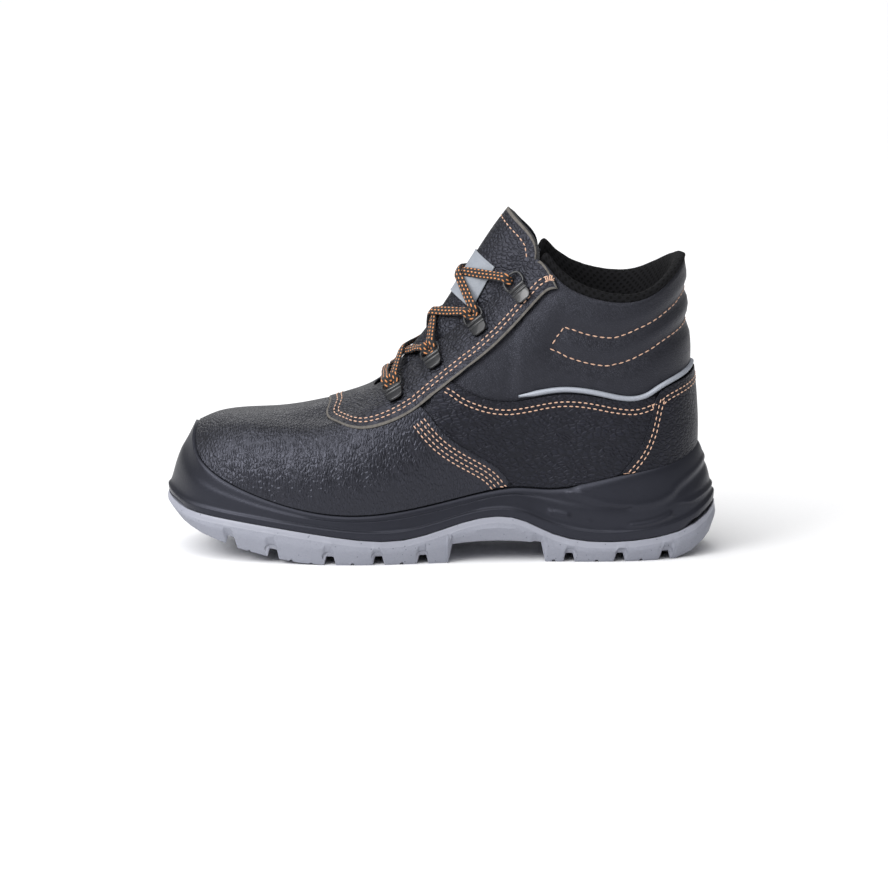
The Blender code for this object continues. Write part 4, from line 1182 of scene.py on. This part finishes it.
# %% Braid the lace
FLECK_PITCH = 3.1 * MM
FLECK_ROWS = 1.9 * MM
braid, tree, shader = new_finish("polyester lace braid", {"Roughness": 0.75, "Sheen Weight": 0.1})
parts = tree.nodes.new("ShaderNodeSeparateXYZ")
tree.links.new(add_node(tree, "UVMap"), parts.inputs[0])
row = calculate(tree, "DIVIDE", parts.outputs[1], FLECK_ROWS)
shifted = calculate(tree, "MULTIPLY", calculate(tree, "FLOOR", row), FLECK_PITCH / 2)
along = calculate(tree, "ADD", parts.outputs[0], shifted)
cell_along = calculate(tree, "FRACT", calculate(tree, "DIVIDE", along, FLECK_PITCH))
cell = add_node(tree, "CombineXYZ", {0: cell_along, 1: calculate(tree, "FRACT", row)})
off = add_node(tree, "VectorMath", {0: cell, 1: (0.5, 0.5, 0)}, operation="SUBTRACT")
shaped = add_node(tree, "VectorMath", {0: off, 1: (1.0, 1.35, 0)}, operation="MULTIPLY")
far = add_node(tree, "VectorMath", {0: shaped}, "Value", operation="LENGTH")
fleck_edge = {"Value": far, "From Min": 0.23, "From Max": 0.29, "To Min": 1.0, "To Max": 0.0}
fleck = add_node(tree, "MapRange", fleck_edge)
fuzz = noise(tree, 0.8)
black = blend(tree, fuzz, "#09090b", "#1d1d20")
orange = blend(tree, fuzz, "#c4763c", "#e59f66")
plait = calculate(tree, "MULTIPLY_ADD", fuzz, 0.3, far)
feed(shader, Base_Color=blend(tree, fleck, black, orange), Normal=relief(tree, plait, 0.5, invert=True))
print("braid made")

# %% Pull the lace through the rings
LACE_HALF_WIDTH = 2.6 * MM
LACE_HALF_THICK = 1.05 * MM
LACE_STEP = 0.9 * MM
LACE_ROUTE = (
    ("outer", 4), ("inner", 3), ("outer", 2), ("inner", 1),
    ("outer", 1), ("inner", 2), ("outer", 3), ("inner", 4),
)
STRAND_POINTS = 25
PULLS = 1000
LACE_LIFT = np.array(INSTEP) * 34 * MM  # how far a strand stands out before it is pulled
TOUCHES = 6 * MM
CROSSES = 3.5 * MM
BY_RING = 3  # so many points at each end of a strand belong to its rings
STRAND_ASIDE = 2.5  # from the middle of a loop, in millimetres like the two places below
INTO_LOOP, IN_LOOP = (6.6, 0.9), (5.6, -0.6)
eyestay_surface = surface_of(panels["eyestay"])


def at_ring(ring, place):
    return np.array(ring_frames[ring] @ Vector(place))


def strand_side(ring, other):
    """Which half of a loop a strand uses: the half that is nearer to where it goes."""
    along = ring_frames[ring].to_3x3() @ Vector((1, 0, 0))
    upwards = 1 if along.dot(THROAT_UP) > 0 else -1
    return upwards if other[1] > ring[1] else -upwards


def pulled_tight(start, end, laid):
    """A strand between two loops, drawn tight over the tongue and over the strands already laid."""
    shares = np.linspace(0, 1, STRAND_POINTS)[:, None]
    points = start + (end - start) * shares + np.sin(shares * math.pi) * LACE_LIFT
    below = tree_of_points(np.vstack(laid)) if laid else None
    for _ in range(PULLS):
        points[1:-1] += 0.5 * ((points[:-2] + points[2:]) / 2 - points[1:-1])
        for i in range(1, STRAND_POINTS - 1):
            for surface in (tongue_surface, eyestay_surface):
                hit, normal, _, _ = surface.find_nearest(points[i])
                height = (Vector(points[i]) - hit).dot(normal)
                if height < LACE_HALF_THICK and (Vector(points[i]) - hit).length < TOUCHES:
                    points[i] = hit + normal * LACE_HALF_THICK
            if below and BY_RING < i < STRAND_POINTS - BY_RING - 1:
                under, _, away = below.find(points[i])
                normal = tongue_surface.find_nearest(points[i])[1]
                gap = (Vector(points[i]) - under).dot(normal)
                if away < CROSSES and gap < 2 * LACE_HALF_THICK:
                    points[i] += np.array(normal) * (2 * LACE_HALF_THICK - gap)
    return points


lace_path, laid = [], []
over_wire = RING_DEEP, WIRE_HIGH + RING_WIRE + LACE_HALF_THICK / MM
for ring, onward in zip(LACE_ROUTE, LACE_ROUTE[1:]):
    leave, arrive = (STRAND_ASIDE * strand_side(*pair) for pair in ((ring, onward), (onward, ring)))
    strand = pulled_tight(at_ring(ring, (leave, *over_wire)), at_ring(onward, (arrive, *over_wire)), laid)
    laid.append(smooth_line(strand[BY_RING:-BY_RING], 1 * MM))
    lace_path += [at_ring(ring, (leave * 0.4, *IN_LOOP)), at_ring(ring, (leave * 0.8, *INTO_LOOP))]
    lace_path += list(strand)
    lace_path += [at_ring(onward, (arrive * 0.8, *INTO_LOOP)), at_ring(onward, (arrive * 0.4, *IN_LOOP))]
lace_path = smooth_line(lace_path, LACE_STEP)
lace_ups = []
for point in lace_path:
    nearest = [surface.find_nearest(point) for surface in (tongue_surface, eyestay_surface)]
    lace_ups.append(sum(np.array(normal) / (away + 0.5 * MM) ** 2 for _, normal, _, away in nearest))
lace_ups = np.array(lace_ups)
for _ in range(12):
    lace_ups /= np.linalg.norm(lace_ups, axis=1)[:, None]
    lace_ups[1:-1] = (lace_ups[:-2] + lace_ups[1:-1] + lace_ups[2:]) / 3
lace_sections = swept_sections(lace_path, lace_ups, LACE_HALF_WIDTH, LACE_HALF_THICK, 12)
lace = loft("lace_braid", lace_sections, braid)
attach(lace, "root")
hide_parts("lace")
print("lace:", round(len(lace_path) * LACE_STEP / MM), "mm,", len(lace.data.polygons), "faces")

# %% [markdown]
# Every seam is sewn with a pale orange thread. One stitch is a small flattened bead, sunk by half into the
# leather. Hundreds of them follow the lines that run beside the panels' edges.

# %% Mark the rows of stitches
STITCH_PITCH, STITCH_LONG = 3.2 * MM, 2.2 * MM
COLLAR_PITCH, COLLAR_LONG = 3.9 * MM, 2.8 * MM
BAR_PITCH, BAR_LONG = 1.05 * MM, 3.2 * MM
BAR_POINTS = 11
STITCH_WIDE = 0.72 * MM
STITCH_HIGH = 0.6 * MM
STITCH_LIFT = 0.08 * MM
TONGUE_ROW = 6 * MM
VAMP_ROWS = 3.0, 5.2, 7.6, 9.8
SEWN_EDGES = (
    # panel, three places along its edge, how far the rows lie from it, the ends that get a bar
    ("eyestay", (61, -40, 149), (-61, 0, 87), (61, 36, 151), (4.5, 7.0), (0, -1)),
    ("vamp", (-10, -42, 82), (10, -42, 63), (38, -39, 44), VAMP_ROWS, ()),
    ("vamp", (-10, 38, 82), (10, 38, 63), (38, 32, 44), VAMP_ROWS, ()),
    ("quarter_outer", (5, -41, 99), (67, -40, 92), (115, -34, 90), (4.0, 6.4), (-1,)),
    ("quarter_inner", (5, 36, 99), (67, 36, 92), (115, 30, 90), (4.0, 6.4), (-1,)),
    ("counter", (116, -33, 90), (140, -2, 102), (116, 29, 90), (4.0, 6.4), ()),
    ("counter", (97, -39, 47), (112, -36, 70), (116, -33, 90), (2.6, 4.8), ()),
    ("counter", (97, 35, 47), (112, 33, 70), (116, 29, 90), (2.6, 4.8), ()),
)
TONGUE_TOP = (56, -32, 165), (38, -2, 188), (56, 28, 165)
rows = []  # a line, its normals, the pitch and the length of its stitches, and whether they lie across it
for node, start, via, end, distances, bars in SEWN_EDGES:
    edge = smooth_line(stretch_of(rims[node], start, via, end))
    surface = surface_of(panels[node])
    pair = [inset_line(edge, distance * MM, surface) for distance in distances]
    rows += [(*row, STITCH_PITCH, STITCH_LONG, False) for row in pair]
    for bar in bars:
        part = slice(0, BAR_POINTS) if bar == 0 else slice(-BAR_POINTS, None)
        rows.append(((pair[0][0] + pair[1][0])[part] / 2, pair[0][1][part], BAR_PITCH, BAR_LONG, True))
tongue_edge = smooth_line(stretch_of(tongue_rim, *TONGUE_TOP))
tongue_row = inset_line(tongue_edge, TONGUE_ROW, tongue_front, tongue_front)[0]
rows.append((*on_surface(tongue_row, tongue_surface), STITCH_PITCH, STITCH_LONG, False))
upper_surface = surface_of(upper)
rows += [(*on_surface(line, upper_surface), COLLAR_PITCH, COLLAR_LONG, False) for line in collar_seams]
print("rows of stitches:", len(rows))

# %% Sew the stitches
THREAD = {"Roughness": 0.6, "Sheen Weight": 0.2}
thread = speckled("polyester sewing thread", THREAD, 0.7, ("#b4866c", "#e8c2a8"), 0.1)
bpy.ops.mesh.primitive_uv_sphere_add(segments=8, ring_count=5, radius=0.5)
bead = bpy.context.object
with editing(bead):
    bpy.ops.transform.rotate(value=math.pi / 2, orient_axis="Y", center_override=(0, 0, 0))
    bpy.ops.transform.resize(value=(1, STITCH_WIDE, STITCH_HIGH))
bead_points = points_of(bead)
bead_faces = [tuple(face.vertices) for face in bead.data.polygons]
bpy.data.objects.remove(bead)
stitch_points, stitch_faces = [], []
for line, normals, pitch, long, across in rows:
    along = lengths_along(line)
    for middle in np.arange(pitch / 2, along[-1] - pitch / 3, pitch):
        near = middle + np.array((0, -STITCH_LONG / 2, STITCH_LONG / 2))
        here, behind, ahead = places_at(near, along, line)
        out = places_at([middle], along, normals)[0]
        out /= np.linalg.norm(out)
        run = ahead - behind
        run -= out * np.dot(run, out)
        run /= np.linalg.norm(run)
        run = np.cross(out, run) if across else run
        turn = np.array([run * long, np.cross(out, run), out])
        first = len(stitch_points) * len(bead_points)
        stitch_points.append(bead_points @ turn + here + out * STITCH_LIFT)
        stitch_faces += [tuple(first + v for v in face) for face in bead_faces]
mesh = bpy.data.meshes.new("stitches")
mesh.from_pydata(np.vstack(stitch_points), [], stitch_faces)
mesh.materials.append(thread)
stitches = add_piece("stitches", mesh)
only(stitches)
bpy.ops.object.shade_smooth()
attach(stitches, "root")
print("stitches:", len(stitch_points))
